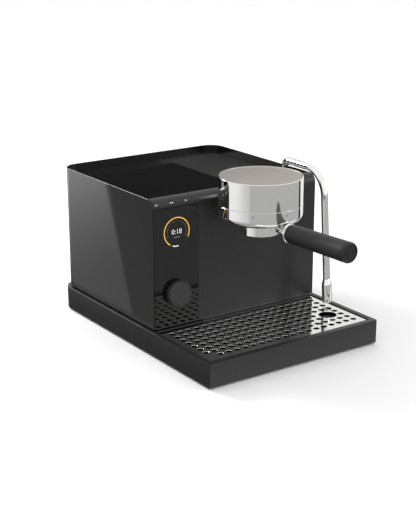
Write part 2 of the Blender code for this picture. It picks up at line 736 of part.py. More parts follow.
def make_group():
    place = (GROUP_X, GROUP_Y, 0)
    wall = SHEET
    radius = GROUP_RADIUS
    inside = radius - wall
    ledge = GROUP_TOP - 0.0022
    housing = [(radius, GROUP_TOP), (radius, GROUP_SEAM + GAP / 2), (inside, GROUP_SEAM + GAP / 2),
               (inside, ledge - wall), (0.0580, ledge - wall), (0.0580, ledge),
               (inside, ledge), (inside, GROUP_TOP)]
    add_turned("group_housing", housing, "chrome", place, closed=True, steps=48)
    add_turned("group_cap", [(0, GROUP_TOP - 0.0007), (inside - GAP, GROUP_TOP - 0.0007),
                             (inside - GAP, ledge + GAP), (0, ledge + GAP)],
               "brushed_steel", place, steps=48)
    make_skirt(place, radius, wall)
    make_group_body(place)
    neck = add_block("group_neck", (GROUP_X - NECK_WIDTH / 2, GROUP_X + NECK_WIDTH / 2),
                     (GROUP_Y + 0.053, 0.033), (NECK_LOW, NECK_HIGH), "brass")
    soften(neck, 0.001)


def make_skirt(place, radius, wall):
    """Lower ring of the group's cover, rounded under and open for the portafilter."""
    bend = (radius - GROUP_FILLET, GROUP_BOTTOM + GROUP_FILLET)
    top = GROUP_SEAM - GAP / 2
    hole = 0.0380
    profile = [(radius, top)]
    profile += arc(bend, GROUP_FILLET, 0, -90, 5)
    profile += [(hole, GROUP_BOTTOM), (hole, GROUP_BOTTOM + wall)]
    profile += arc(bend, GROUP_FILLET - wall, -90, 0, 3)
    profile.append((radius - wall, top))
    skirt = add_turned("group_skirt", profile, "chrome", place, closed=True, steps=48)
    half = NECK_WIDTH / 2 + 2 * GAP
    combine(skirt, add_block("skirt_window", (GROUP_X - half, GROUP_X + half),
                             (GROUP_Y + 0.040, GROUP_Y + 0.080),
                             (NECK_LOW - 2 * GAP, NECK_HIGH + 2 * GAP)))


def make_group_body(place):
    """Heavy block with the lock ring, its ear slots and the seat of the seal."""
    outer, lip, groove, bore = 0.0520, 0.0370, 0.0412, 0.0352
    low, lip_top, groove_top, ceiling, high = 0.2160, 0.2205, 0.2290, 0.2403, 0.2785
    profile = [(0, high), (outer, high), (outer, low), (lip, low), (lip, lip_top),
               (groove, lip_top), (groove, groove_top), (bore, groove_top), (bore, ceiling),
               (0, ceiling)]
    body = add_turned("group_body", profile, "brass", place, steps=40)
    slot = math.radians(UNLOCK_ANGLE)
    combine(body, add_tool("ear_slots", block(2 * groove - 0.0004, 0.0200, 0.0080),
                           (GROUP_X, GROUP_Y, lip_top - 0.0035), (0, 0, slot)))
    add_turned("group_gasket", [(0.0345, 0.2400), (0.0345, 0.2356), (0.0268, 0.2356),
                                (0.0268, 0.2400)], "rubber", place, closed=True)
    add_turned("shower_screen", [(0, 0.2384), (0.0250, 0.2384), (0.0250, 0.2400),
                                 (0.0262, 0.2400), (0.0262, 0.2370), (0, 0.2370)],
               "brushed_steel", place)
    add_turned("screen_screw", [(0, 0.2367), (0.0030, 0.2367), (0.0030, 0.2354), (0, 0.2354)],
               "zinc_steel", place, steps=12)


# ---------------------------------------------------------------- portafilter

def handle_turn():
    """Rotation that lays a profile's Z axis along the handle."""
    angle = math.radians(HANDLE_ANGLE)
    ahead = Vector((math.sin(angle), -math.cos(angle), 0))
    return ahead.to_track_quat('Z', 'Y').to_euler()


def make_portafilter(axis):
    bowl = [(0.0345, BOWL_TOP), (0.0345, 0.2175), (0.0305, 0.2140), (0.0305, BOWL_BOTTOM),
            (0.0291, BOWL_BOTTOM), (0.0291, BOWL_TOP)]
    body = add_turned("portafilter_body", bowl, "chrome", parent=axis, closed=True, steps=36)
    slim, wide, start, steps, steepness = 0.0050, 0.0142, 0.0296, 7, 3.5
    neck = [(0, COLLAR_START - GAP), (wide, COLLAR_START - GAP)]
    for i in range(steps + 1):
        share = 1 - i / steps
        neck.append((slim + (wide - slim) * share ** steepness,
                     FLARE_START + (FLARE_END - FLARE_START) * share))
    neck += [(slim, start), (0, start)]
    turn_to = handle_turn()
    tool = turn(add_tool("neck_union", turned(neck), (0, 0, HANDLE_Z), turn_to, axis), 24)
    combine(body, tool, 'UNION')
    for name, side in (("ear_union_left", -1), ("ear_union_right", 1)):
        angle = math.radians(HANDLE_ANGLE)
        reach = 0.0370 * side
        ear = add_tool(name, block(0.0060, 0.0160, 0.0060),
                       (reach * math.cos(angle), reach * math.sin(angle), 0.2245),
                       (0, 0, angle), axis)
        combine(body, ear, 'UNION')
    basket = [(0, 0.2108), (0.0279, 0.2108), (0.0279, 0.2353), (0.0335, 0.2353),
              (0.0335, 0.2343), (0.0285, 0.2343), (0.0285, 0.2100), (0, 0.2100)]
    add_turned("filter_basket", basket, "brushed_steel", parent=axis, steps=36)
    make_handle(axis, turn_to)


def make_handle(axis, turn_to):
    """Collar, grip and end cap, each turned about the handle's own line."""
    place = (0, 0, HANDLE_Z)
    edge = 0.0004
    collar_end, grip_end = GRIP_START - GAP, CAP_START - GAP
    collar = [(0, collar_end), (COLLAR_RADIUS - edge, collar_end),
              (COLLAR_RADIUS, collar_end - edge), (COLLAR_RADIUS, COLLAR_START + edge),
              (COLLAR_RADIUS - edge, COLLAR_START), (0, COLLAR_START)]
    grip = [(0, grip_end), (GRIP_END_RADIUS - edge, grip_end),
            (GRIP_END_RADIUS, grip_end - edge), (GRIP_NEAR_RADIUS, GRIP_START + edge),
            (GRIP_NEAR_RADIUS - edge, GRIP_START), (0, GRIP_START)]
    dish, dish_depth = 0.0084, 0.0010
    cap = [(0, HANDLE_END - dish_depth), (dish - edge, HANDLE_END - dish_depth),
           (dish + edge, HANDLE_END), (0.0130, HANDLE_END), (0.0149, HANDLE_END - 0.0010),
           (GRIP_END_RADIUS, CAP_START + 0.0026), (GRIP_END_RADIUS, CAP_START), (0, CAP_START)]
    for name, profile, finish in (("handle_collar", collar, "chrome"),
                                  ("handle_grip", grip, "satin_grip"),
                                  ("handle_end_cap", cap, "satin_grip")):
        add_turned(name, profile, finish, place, turn_to, axis, steps=28)


# ---------------------------------------------------------------- steam wand

def bend(before, corner, after, radius, count):
    """Round corner between two straight runs in a plane."""
    corner = Vector(corner)
    back = (Vector(before) - corner).normalized()
    ahead = (Vector(after) - corner).normalized()
    half = back.angle(ahead) / 2
    centre = corner + (back + ahead).normalized() * radius / math.sin(half)
    start = corner + back * radius / math.tan(half) - centre
    stop = corner + ahead * radius / math.tan(half) - centre
    sweep = start.angle(stop)
    return [centre + (start * math.sin(sweep * (1 - i / count))
                      + stop * math.sin(sweep * i / count)) / math.sin(sweep)
            for i in range(count + 1)]


def make_wand(axis):
    """Bent tube and its tip, in the plane through the swivel's upright axis."""
    lean = math.tan(math.radians(WAND_LEAN))
    corner_y = WAND_FOOT_Y - WAND_Y + lean * (WAND_ARM_Z - WAND_FOOT_Z)
    foot = Vector((0, WAND_FOOT_Y - WAND_Y, WAND_FOOT_Z))
    corner = Vector((0, corner_y, WAND_ARM_Z))
    down = (foot - corner).normalized()
    bottom = Vector((0, 0, 0.2205))
    elbow = Vector((0, 0, WAND_ARM_Z))
    tube_end = foot - down * (WAND_TIP_LENGTH + GAP)
    route = [bottom] + bend(bottom, elbow, corner, 0.0090, 5)
    route += bend(elbow, corner, foot, 0.0450, 9) + [tube_end]
    add_part("wand_tube", pipe(route, WAND_RADIUS, 3), "chrome", parent=axis)
    tip_turn = down.to_track_quat('Z', 'Y').to_euler()
    tip = [(0, WAND_TIP_LENGTH), (0.0060, WAND_TIP_LENGTH), (0.0080, WAND_TIP_LENGTH - 0.0020),
           (WAND_TIP_RADIUS, WAND_TIP_LENGTH - 0.0045), (WAND_TIP_RADIUS, 0.0110),
           (WAND_RADIUS, 0.0), (0, 0.0)]
    add_turned("wand_tip", tip, "chrome", foot - down * WAND_TIP_LENGTH, tip_turn, axis, steps=24)
    outer, bore, low, high, chamfer = (0.0104, WAND_RADIUS + SLIDE_GAP, PLATE_TOP + GAP,
                                       0.2425, 0.0014)
    add_turned("wand_socket", [(outer - chamfer, high), (outer, high - chamfer), (outer, low),
                               (bore, low), (bore, high)],
               "chrome", (WAND_X, WAND_Y, 0), closed=True, steps=24)


# ---------------------------------------------------------------- assembly

def build():
    make_base()
    make_base_plate()
    make_feet()
    make_drip_tray()
    make_grate()
    make_float()
    make_casing()
    make_front_panel()
    make_glass()
    make_control_frame()
    make_display()
    make_keys()
    make_knob()
    make_deck()
    tank_axis = make_empty("tank_axis", (0, 0, 0), MACHINE)
    make_tank_lid(tank_axis)
    make_water_tank(tank_axis)
    make_pump()
    make_boiler()
    make_hoses()
    make_electrics()
    make_casing_screws()
    make_group()
    make_portafilter(make_empty("portafilter_axis", (GROUP_X, GROUP_Y, 0), MACHINE))
    make_wand(make_empty("wand_axis", (WAND_X, WAND_Y, 0), MACHINE))


build()
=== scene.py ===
import json
import math

import bmesh
import bpy
from mathutils import Matrix, Vector

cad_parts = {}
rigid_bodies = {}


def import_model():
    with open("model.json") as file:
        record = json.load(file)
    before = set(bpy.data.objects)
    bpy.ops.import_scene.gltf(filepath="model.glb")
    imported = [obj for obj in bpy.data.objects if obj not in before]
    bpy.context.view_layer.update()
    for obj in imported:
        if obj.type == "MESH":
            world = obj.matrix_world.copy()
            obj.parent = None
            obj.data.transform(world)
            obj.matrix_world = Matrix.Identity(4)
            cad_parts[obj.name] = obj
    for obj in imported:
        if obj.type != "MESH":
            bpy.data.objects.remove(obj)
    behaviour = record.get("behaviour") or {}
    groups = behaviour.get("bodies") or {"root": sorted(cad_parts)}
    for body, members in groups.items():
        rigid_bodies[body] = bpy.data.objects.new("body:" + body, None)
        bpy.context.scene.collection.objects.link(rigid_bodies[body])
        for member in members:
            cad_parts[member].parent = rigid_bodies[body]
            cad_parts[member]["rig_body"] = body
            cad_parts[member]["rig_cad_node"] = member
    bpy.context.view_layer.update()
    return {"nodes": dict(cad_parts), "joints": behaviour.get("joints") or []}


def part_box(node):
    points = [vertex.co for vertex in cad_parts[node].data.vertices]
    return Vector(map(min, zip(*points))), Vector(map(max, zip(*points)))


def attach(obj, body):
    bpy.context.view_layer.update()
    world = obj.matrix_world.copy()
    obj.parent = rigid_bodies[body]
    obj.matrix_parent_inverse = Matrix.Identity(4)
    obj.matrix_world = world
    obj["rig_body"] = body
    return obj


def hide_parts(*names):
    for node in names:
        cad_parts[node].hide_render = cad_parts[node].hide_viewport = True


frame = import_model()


# ---- Table, light and camera ------------------------------------------------------------
# The machine stands on a white sweep in a light tent, between two soft boxes.  Black and
# mirror finishes are lit by what they mirror, so grey, black and bright cards lie round it
# that only those finishes see.  A long lens looks down on it from the left.

def linear(hex_colour):
    """Turns an sRGB hex colour into linear light."""
    parts = [int(hex_colour[i:i + 2], 16) / 255 for i in (1, 3, 5)]
    return tuple(c / 12.92 if c <= 0.04045 else ((c + 0.055) / 1.055) ** 2.4
                 for c in parts) + (1.0,)


def add_node(tree, kind, settings, inputs):
    """Adds one node, sets it up, and gives each input a value or a link."""
    node = tree.nodes.new(kind)
    for name, value in settings.items():
        setattr(node, name, value)
    for name, value in inputs.items():
        if isinstance(value, bpy.types.NodeSocket):
            tree.links.new(value, node.inputs[name])
        else:
            node.inputs[name].default_value = value
    return node


def new_finish(name, colour, roughness, metallic=0.0, **more):
    """A named material with its shader's own values; returns it with its tree and shader."""
    material = bpy.data.materials.new(name)
    material.use_nodes = True
    tree = material.node_tree
    shader = tree.nodes["Principled BSDF"]
    values = {"Base Color": linear(colour), "Roughness": roughness, "Metallic": metallic}
    values.update(more)
    for socket, value in values.items():
        shader.inputs[socket].default_value = value
    return material, tree, shader


def clear_selection():
    bpy.ops.object.select_all(action='DESELECT')


# Matt white paper: an even white.  Its fibre, 2.5 mm wide, is drawn coarser than a real one.
clear_selection()
bpy.ops.mesh.primitive_plane_add(size=14.0, location=(0, 0, 0))
floor = bpy.context.object
floor.name = "white_sweep"
sweep_paper, tree, shader = new_finish("matt_white_paper", "#f4f4f4", 0.9)
place = add_node(tree, "ShaderNodeTexCoord", {}, {})
fibre = add_node(tree, "ShaderNodeTexNoise", {}, {"Vector": place.outputs["Object"],
                                                  "Scale": 400.0, "Detail": 3.0})
tone = add_node(tree, "ShaderNodeMix", {"data_type": 'RGBA'},
                {0: fibre.outputs["Fac"], 6: linear("#fafafa"), 7: linear("#fdfdfd")})
tree.links.new(tone.outputs[2], shader.inputs["Base Color"])
floor.data.materials.append(sweep_paper)
floor.visible_glossy = False

world = bpy.data.worlds.new("light_tent")
bpy.context.scene.world = world
world.use_nodes = True
tent = world.node_tree.nodes["Background"]
tent.inputs["Color"].default_value = linear("#ffffff")
tent.inputs["Strength"].default_value = 1.03

for name, place, aim_at, size, power in (
        ("rear_left_box", (-0.51, 1.28, 0.90), (-0.16, 0.13, 0.25), (0.50, 0.42), 14.0),
        ("right_box", (1.5, -1.5, 0.9), (0.0, 0.0, 0.12), (0.6, 1.2), 4.0)):
    bpy.ops.object.light_add(type='AREA', location=place)
    lamp = bpy.context.object
    lamp.name = name
    lamp.data.shape = 'RECTANGLE'
    lamp.data.size, lamp.data.size_y = size
    lamp.data.energy = power
    lamp.rotation_euler = (Vector(aim_at) - Vector(place)).to_track_quat('-Z', 'Y').to_euler()


def card(name, light, *corners):
    """A card that only glossy surfaces see.

    Its light runs smoothly along Y between two (y, strength) pairs."""
    clear_selection()
    bpy.ops.mesh.primitive_plane_add(size=1.0)
    piece = bpy.context.object
    piece.name = name
    for vert, place in zip((0, 1, 3, 2), corners):
        piece.data.vertices[vert].co = place
    material = bpy.data.materials.new(name + "_paint")
    material.use_nodes = True
    tree = material.node_tree
    tree.nodes.remove(tree.nodes["Principled BSDF"])
    place = add_node(tree, "ShaderNodeTexCoord", {}, {})
    split = add_node(tree, "ShaderNodeSeparateXYZ", {}, {"Vector": place.outputs["Object"]})
    fade = add_node(tree, "ShaderNodeMapRange", {"interpolation_type": 'SMOOTHSTEP'}, {
        "Value": split.outputs["Y"], "From Min": light[0][0], "From Max": light[1][0],
        "To Min": light[0][1], "To Max": light[1][1]})
    glow = add_node(tree, "ShaderNodeEmission", {}, {"Strength": fade.outputs["Result"]})
    tree.links.new(glow.outputs["Emission"], tree.nodes["Material Output"].inputs["Surface"])
    piece.data.materials.append(material)
    piece.visible_camera = piece.visible_diffuse = piece.visible_shadow = False
    piece.visible_transmission = piece.visible_volume_scatter = False


TABLE = -0.003          # the grey table lies just under the sweep,
LAID = -0.002           # the cards lie on it,
OVER = -0.001           # and the near ones lie over those
card("grey_table", ((-1, 0.48), (1, 0.48)),
     (-7, -7, TABLE), (7, -7, TABLE), (7, 7, TABLE), (-7, 7, TABLE))
# the casing's left side mirrors a bright card behind a straight edge, and a dark one before it
card("rear_left_card", ((0.30, 0.69), (1.70, 2.7)),
     (-0.235, 0.175, LAID), (-0.235, 2.5, LAID), (-1.2, 3.0, LAID), (-1.2, 2.045, LAID))
card("left_flag", ((0, 0.37), (1, 0.37)),
     (-0.235, 0.03, LAID), (-0.235, 0.175, LAID), (-0.72, 1.115, LAID), (-0.72, 0.74, LAID))
# the chrome pot mirrors a pale card at its left, and a pale and a black one at its right
card("left_card", ((-0.55, 0.62), (0.30, 0.95)),
     (-0.50, -0.316, LAID), (-0.50, 0.42, LAID), (-1.30, 1.20, LAID), (-1.30, -0.66, LAID))
card("right_card", ((0, 0.95), (1, 0.95)),
     (0.55, 0.02, LAID), (0.55, 1.2, LAID), (1.4, 1.2, LAID), (1.4, 0.0, LAID))
card("right_flag", ((0, 0.02), (1, 0.02)),
     (0.50, -0.14, LAID), (0.50, 0.0, LAID), (1.4, -0.03, LAID), (1.4, -0.22, LAID))
# a dark strip beside the base, a bright one before it, and a black board behind the lid
card("side_flag", ((0, 0.15), (1, 0.15)),
     (-0.222, -0.25, OVER), (-0.222, 0.50, OVER), (-0.167, 0.50, OVER), (-0.167, -0.25, OVER))
card("front_card", ((-1, 1.2), (1, 1.2)),
     (-0.20, -0.27, OVER), (-0.20, -0.176, OVER), (0.45, -0.176, OVER), (0.45, -0.27, OVER))
card("rear_flag", ((0, 0.03), (1, 0.03)),
     (-0.15, 0.285, 0.235), (0.40, 0.285, 0.235), (0.40, 0.285, 0.392), (-0.15, 0.285, 0.392))

bpy.ops.object.camera_add(location=(-1.0771, -1.4857, 0.7050),
                          rotation=(math.radians(90 - 17.48), 0, math.radians(-34.77)))
camera = bpy.context.object
camera.data.sensor_width = 36.0
camera.data.lens = 81.69
camera.data.shift_x = -0.00087
bpy.context.scene.camera = camera
bpy.context.scene.view_settings.view_transform = 'Standard'


# ---- Base moulding ----------------------------------------------------------------------
# Injection-moulded black ABS with a fine spark-eroded grain.  It is an upturned tub with
# round rear corners; its edges are barely broken, so they catch a thin line of light.

def block(name, low, high):
    """A box primitive between two corners, its place in its mesh."""
    low, high = Vector(low), Vector(high)
    clear_selection()
    bpy.ops.mesh.primitive_cube_add(size=1.0, location=(low + high) / 2)
    piece = bpy.context.object
    piece.name = name
    piece.scale = high - low
    bpy.ops.object.transform_apply(location=True, rotation=True, scale=True)
    return piece


def make_active(piece):
    clear_selection()
    piece.select_set(True)
    bpy.context.view_layer.objects.active = piece


def edit(piece):
    make_active(piece)
    bpy.ops.object.mode_set(mode='EDIT')
    bpy.ops.mesh.select_all(action='DESELECT')


def done():
    bpy.ops.object.mode_set(mode='OBJECT')


def pick(kind, test):
    """Selects the corners, edges or faces of the mesh being edited that pass a test."""
    bpy.ops.mesh.select_mode(type=kind)
    bpy.ops.mesh.select_all(action='DESELECT')
    mesh = bmesh.from_edit_mesh(bpy.context.object.data)
    items = {'VERT': mesh.verts, 'EDGE': mesh.edges, 'FACE': mesh.faces}[kind]
    for item in items:
        item.select_set(test(item))
    bmesh.update_edit_mesh(bpy.context.object.data)


def apply_modifiers(piece):
    make_active(piece)
    for modifier in list(piece.modifiers):
        bpy.ops.object.modifier_apply(modifier=modifier.name)


def smooth(piece, angle):
    """Shades a piece smooth, but for the edges sharper than an angle in degrees."""
    make_active(piece)
    bpy.ops.object.shade_smooth_by_angle(angle=math.radians(angle))


def break_edges(piece, width, segments=2, angle=35):
    """Rounds every sharp edge a little and shades the piece smooth between them."""
    bevel = piece.modifiers.new("broken_edges", 'BEVEL')
    bevel.width = width
    bevel.segments = segments
    bevel.limit_method = 'ANGLE'
    bevel.angle_limit = math.radians(40)
    apply_modifiers(piece)
    smooth(piece, angle)


def cut(piece, *cutters, operation='DIFFERENCE'):
    """Takes other solids out of a piece, or joins them to it, and clears them away."""
    for cutter in cutters:
        boolean = piece.modifiers.new("cut", 'BOOLEAN')
        boolean.operation = operation
        boolean.solver = 'EXACT'
        boolean.object = cutter
        apply_modifiers(piece)
        bpy.data.objects.remove(cutter)


def finish_piece(piece, material, body, *nodes):
    """Gives a piece its material and body, and hides the plain nodes it stands for.

    Its flat faces are shaded flat, or their broken edges would bend what they mirror."""
    normals = piece.modifiers.new("flat_faces", 'WEIGHTED_NORMAL')
    normals.keep_sharp = True
    apply_modifiers(piece)
    piece.data.materials.clear()
    piece.data.materials.append(material)
    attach(piece, body)
    if nodes:
        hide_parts(*nodes)


# Moulded ABS, black: a soft sheen, broken by the mould's spark grain.  The grain is drawn
# 0.6 mm wide, as a real one of 0.1 mm would not show; a cloud 110 mm wide tells the flow.
moulded_abs, tree, shader = new_finish("moulded_black_abs", "#1f1f1f", 0.40, IOR=1.46)
shader.inputs["Specular IOR Level"].default_value = 0.40
place = add_node(tree, "ShaderNodeTexCoord", {}, {})
grain = add_node(tree, "ShaderNodeTexNoise", {}, {"Vector": place.outputs["Object"],
                                                  "Scale": 1600.0, "Detail": 2.0})
flow = add_node(tree, "ShaderNodeTexNoise", {}, {"Vector": place.outputs["Object"],
                                                 "Scale": 9.0, "Detail": 4.0})
tone = add_node(tree, "ShaderNodeMix", {"data_type": 'RGBA'},
                {0: flow.outputs["Fac"], 6: linear("#1d1d1d"), 7: linear("#212121")})
gloss = add_node(tree, "ShaderNodeMapRange", {}, {"Value": grain.outputs["Fac"],
                                                  "To Min": 0.34, "To Max": 0.44})
relief = add_node(tree, "ShaderNodeBump", {}, {"Height": grain.outputs["Fac"],
                                               "Strength": 0.12, "Distance": 0.0002})
tree.links.new(tone.outputs[2], shader.inputs["Base Color"])
tree.links.new(gloss.outputs["Result"], shader.inputs["Roughness"])
tree.links.new(relief.outputs["Normal"], shader.inputs["Normal"])

CORNER, WALL, HOLLOW = 0.031, 0.003, 0.0325     # rear corners, wall, and depth of its inside
FIT = 0.0003                                    # clearance between two pieces
PAST = 0.01                                     # how far a cutter runs past a face
low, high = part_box("base_shell")
base = block("base_moulding", low, high)
edit(base)
pick('EDGE', lambda e: e.verts[0].co.y > high.y - 0.001 and e.verts[1].co.y > high.y - 0.001
     and abs(e.verts[0].co.x - e.verts[1].co.x) < 0.001)
bpy.ops.mesh.bevel(offset=CORNER, segments=20, profile=0.5, affect='EDGES')
pick('FACE', lambda f: f.normal.z < -0.9)
bpy.ops.mesh.inset(thickness=WALL)
bpy.ops.mesh.extrude_region_move(TRANSFORM_OT_translate={"value": (0, 0, HOLLOW)})
done()
plate_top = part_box("base_plate")[1].z
cut(base, block("plate_way", (low.x + WALL, low.y - PAST, low.z - PAST),
                (high.x - WALL, low.y + PAST, plate_top + FIT)))
break_edges(base, 0.0008, 3)
finish_piece(base, moulded_abs, "machine", "base_shell")


# ---- Drip tray --------------------------------------------------------------------------
# The same ABS as the base, moulded as one deep tray that slides out to the front.  Its rim
# stands round the grate, its floor holds the spilled water, and it is open below for the
# steel plate it runs on.

TRAY_CORNER, LEDGE, FLOOR, FRONT_WALL = 0.0025, 0.005, 0.0076, 0.005
low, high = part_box("drip_tray")
grate_low, grate_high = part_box("drip_grate")
tray = block("tray_moulding", low, high)
edit(tray)
pick('EDGE', lambda e: e.verts[0].co.y < low.y + 0.001 and e.verts[1].co.y < low.y + 0.001
     and abs(e.verts[0].co.x - e.verts[1].co.x) < 0.001)
bpy.ops.mesh.bevel(offset=TRAY_CORNER, segments=5, profile=0.5, affect='EDGES')
done()
cut(tray,
    block("grate_seat", (grate_low.x - FIT, grate_low.y - FIT, grate_low.z - FIT),
          (grate_high.x + FIT, grate_high.y + FIT, high.z + PAST)),
    block("well", (grate_low.x - FIT + LEDGE, grate_low.y + LEDGE, FLOOR),
          (grate_high.x + FIT - LEDGE, grate_high.y - LEDGE, high.z + PAST)),
    block("plate_way", (low.x + WALL, low.y + FRONT_WALL, low.z - PAST),
          (high.x - WALL, high.y + PAST, plate_top + FIT)))
break_edges(tray, 0.0006, 2)
finish_piece(tray, moulded_abs, "tray", "drip_tray")
frame["nodes"]["float_post"].material_slots[0].material = moulded_abs


# ---- Turned pieces: float and feet ------------------------------------------------------
# The float is a hollow black ABS ring that climbs its post as the tray fills.  The feet are
# moulded rubber pads with a ring groove, pressed into the base plate.

def turned(name, centre, profile, sides=96, ring=False):
    """A turned piece: a circle is pulled up through (radius, height) steps, then closed."""
    x, y, z = centre
    radius, height = profile[0]
    clear_selection()
    bpy.ops.mesh.primitive_circle_add(vertices=sides, radius=radius, location=(x, y, z + height))
    piece = bpy.context.object
    piece.name = name
    bpy.ops.object.transform_apply(location=True, rotation=True, scale=True)
    bpy.ops.object.mode_set(mode='EDIT')
    bpy.ops.mesh.select_mode(type='EDGE')
    bpy.ops.mesh.select_all(action='SELECT')
    for next_radius, next_height in profile[1:]:
        bpy.ops.mesh.extrude_region_move(
            TRANSFORM_OT_translate={"value": (0, 0, next_height - height)})
        scale = next_radius / radius
        bpy.ops.transform.resize(value=(scale, scale, 1), center_override=(x, y, z))
        radius, height = next_radius, next_height
    if ring:
        bpy.ops.mesh.select_all(action='DESELECT')
        bpy.ops.mesh.select_non_manifold(extend=False)
        bpy.ops.mesh.bridge_edge_loops()
    else:
        bpy.ops.mesh.select_all(action='SELECT')
        bpy.ops.mesh.fill_holes(sides=0)
    bpy.ops.mesh.select_all(action='SELECT')
    bpy.ops.mesh.normals_make_consistent(inside=False)
    bpy.ops.object.mode_set(mode='OBJECT')
    return piece


low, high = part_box("tray_float")
middle = (low + high) / 2
float_ring = turned("float_ring", (middle.x, middle.y, 0),
                    [(0.0026, high.z - 0.0020), (0.0060, high.z - 0.0020), (0.0070, high.z),
                     (0.0122, high.z), (0.0128, high.z - 0.0006), (0.0128, low.z),
                     (0.0026, low.z)], 64, ring=True)
break_edges(float_ring, 0.0003)
finish_piece(float_ring, moulded_abs, "float", "tray_float")

# Moulded rubber: next to no sheen, and a dusty bloom in patches 3 mm wide.
rubber, tree, shader = new_finish("black_moulded_rubber", "#161616", 0.8)
place = add_node(tree, "ShaderNodeTexCoord", {}, {})
bloom = add_node(tree, "ShaderNodeTexNoise", {}, {"Vector": place.outputs["Object"],
                                                  "Scale": 350.0, "Detail": 4.0})
tone = add_node(tree, "ShaderNodeMix", {"data_type": 'RGBA'},
                {0: bloom.outputs["Fac"], 6: linear("#131313"), 7: linear("#1d1d1d")})
relief = add_node(tree, "ShaderNodeBump", {}, {"Height": bloom.outputs["Fac"],
                                               "Strength": 0.2, "Distance": 0.0003})
tree.links.new(tone.outputs[2], shader.inputs["Base Color"])
tree.links.new(relief.outputs["Normal"], shader.inputs["Normal"])

for node in ("foot_front_left", "foot_front_right", "foot_rear_left", "foot_rear_right"):
    low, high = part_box(node)
    middle = (low + high) / 2
    foot = turned(node + "_pad", (middle.x, middle.y, 0),
                  [(0.0060, 0.0006), (0.0060, 0.0), (0.0100, 0.0), (0.0105, 0.0005),
                   (0.0120, 0.0028), (0.0120, 0.0030)], 48)
    break_edges(foot, 0.0002)
    finish_piece(foot, rubber, "machine", node)


# ---- Drip grate -------------------------------------------------------------------------
# Stainless sheet 1.2 mm thick, punched with rows of 10 mm holes and one large hole for the
# float, and left plain at its front left corner.  The punch leaves a soft rim on each hole,
# and the sheet is finely brushed along its length.

PITCH, COLUMNS, ROWS = 0.0155, 19, 8
HOLE, FLOAT_HOLE = 0.0050, 0.01475              # radii
low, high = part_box("drip_grate")
middle = (low + high) / 2
float_low, float_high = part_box("tray_float")
float_middle = (float_low + float_high) / 2
grate = block("grate_sheet", low, high)
break_edges(grate, 0.0005, 2)


def punch(name, x, y, radius, sides):
    """A punch that leaves a soft rim at the top of its hole."""
    rim, past = 0.00035, 0.001
    return turned(name, (x, y, 0), [(radius, low.z - past), (radius, high.z - rim),
                                    (radius + rim, high.z), (radius + rim, high.z + past)], sides)


left, front = middle.x - (COLUMNS - 1) / 2 * PITCH, middle.y - (ROWS - 1) / 2 * PITCH
punches = punch("punches", left, front, HOLE, 20)
for axis, count in ((0, COLUMNS), (1, ROWS)):
    rows = punches.modifiers.new("rows", 'ARRAY')
    rows.count = count
    rows.use_relative_offset = False
    rows.use_constant_offset = True
    rows.constant_offset_displace = [PITCH if i == axis else 0 for i in range(3)]
apply_modifiers(punches)
edit(punches)


def isn_t_punched(vert):
    """Whether a punch would meet the float's hole, or is the one left out at the corner."""
    column, row = round((vert.co.x - left) / PITCH), round((vert.co.y - front) / PITCH)
    x, y = left + column * PITCH, front + row * PITCH
    by_float = math.hypot(x - float_middle.x, y - float_middle.y) < FLOAT_HOLE + HOLE
    return by_float or (column, row) == (0, 0)


pick('VERT', isn_t_punched)
bpy.ops.mesh.delete(type='VERT')
done()
cut(grate, punches, punch("float_punch", float_middle.x, float_middle.y, FLOAT_HOLE, 48))
smooth(grate, 30)

# Brushed stainless sheet: a bright mirror, drawn out along its length.  Its strokes are
# 50 mm long and 0.6 mm apart, coarser than the real 0.1 mm, so that they show.
stainless, tree, shader = new_finish("brushed_stainless_sheet", "#dcdcda", 0.08, 1.0)
place = add_node(tree, "ShaderNodeTexCoord", {}, {})
drawn = add_node(tree, "ShaderNodeMapping", {}, {"Vector": place.outputs["Object"],
                                                 "Scale": (20.0, 1600.0, 1600.0)})
lines = add_node(tree, "ShaderNodeTexNoise", {}, {"Vector": drawn.outputs["Vector"],
                                                  "Scale": 1.0, "Detail": 3.0})
gloss = add_node(tree, "ShaderNodeMapRange", {}, {"Value": lines.outputs["Fac"],
                                                  "To Min": 0.05, "To Max": 0.11})
relief = add_node(tree, "ShaderNodeBump", {}, {"Height": lines.outputs["Fac"],
                                               "Strength": 0.04, "Distance": 0.0002})
tree.links.new(gloss.outputs["Result"], shader.inputs["Roughness"])
tree.links.new(relief.outputs["Normal"], shader.inputs["Normal"])
finish_piece(grate, stainless, "grate", "drip_grate")


# ---- Casing -----------------------------------------------------------------------------
# Steel sheet 1.5 mm thick, bent once round the left, rear and right, and powder coated gloss
# black.  Its rim stands above the top, and its upper front corners are rounded to follow the
# roll of the front.  The rear has a row of vent slots and the cut-out of the mains inlet.

# Gloss black powder coat: nearly a mirror, so it is lit by what stands beside it.  An orange
# peel 1.4 mm wide and a haze 80 mm wide only just soften what it mirrors.
powder_coat, tree, shader = new_finish("gloss_black_powder_coat", "#0f0f0f", 0.08, IOR=1.5)
shader.inputs["Specular IOR Level"].default_value = 0.40
place = add_node(tree, "ShaderNodeTexCoord", {}, {})
peel = add_node(tree, "ShaderNodeTexNoise", {}, {"Vector": place.outputs["Object"],
                                                 "Scale": 700.0, "Detail": 2.0})
haze = add_node(tree, "ShaderNodeTexNoise", {}, {"Vector": place.outputs["Object"],
                                                 "Scale": 12.0, "Detail": 4.0})
tone = add_node(tree, "ShaderNodeMix", {"data_type": 'RGBA'},
                {0: haze.outputs["Fac"], 6: linear("#0e0e0e"), 7: linear("#111111")})
gloss = add_node(tree, "ShaderNodeMapRange", {}, {"Value": haze.outputs["Fac"],
                                                  "To Min": 0.03, "To Max": 0.06})
relief = add_node(tree, "ShaderNodeBump", {}, {"Height": peel.outputs["Fac"],
                                               "Strength": 0.004, "Distance": 0.0002})
tree.links.new(tone.outputs[2], shader.inputs["Base Color"])
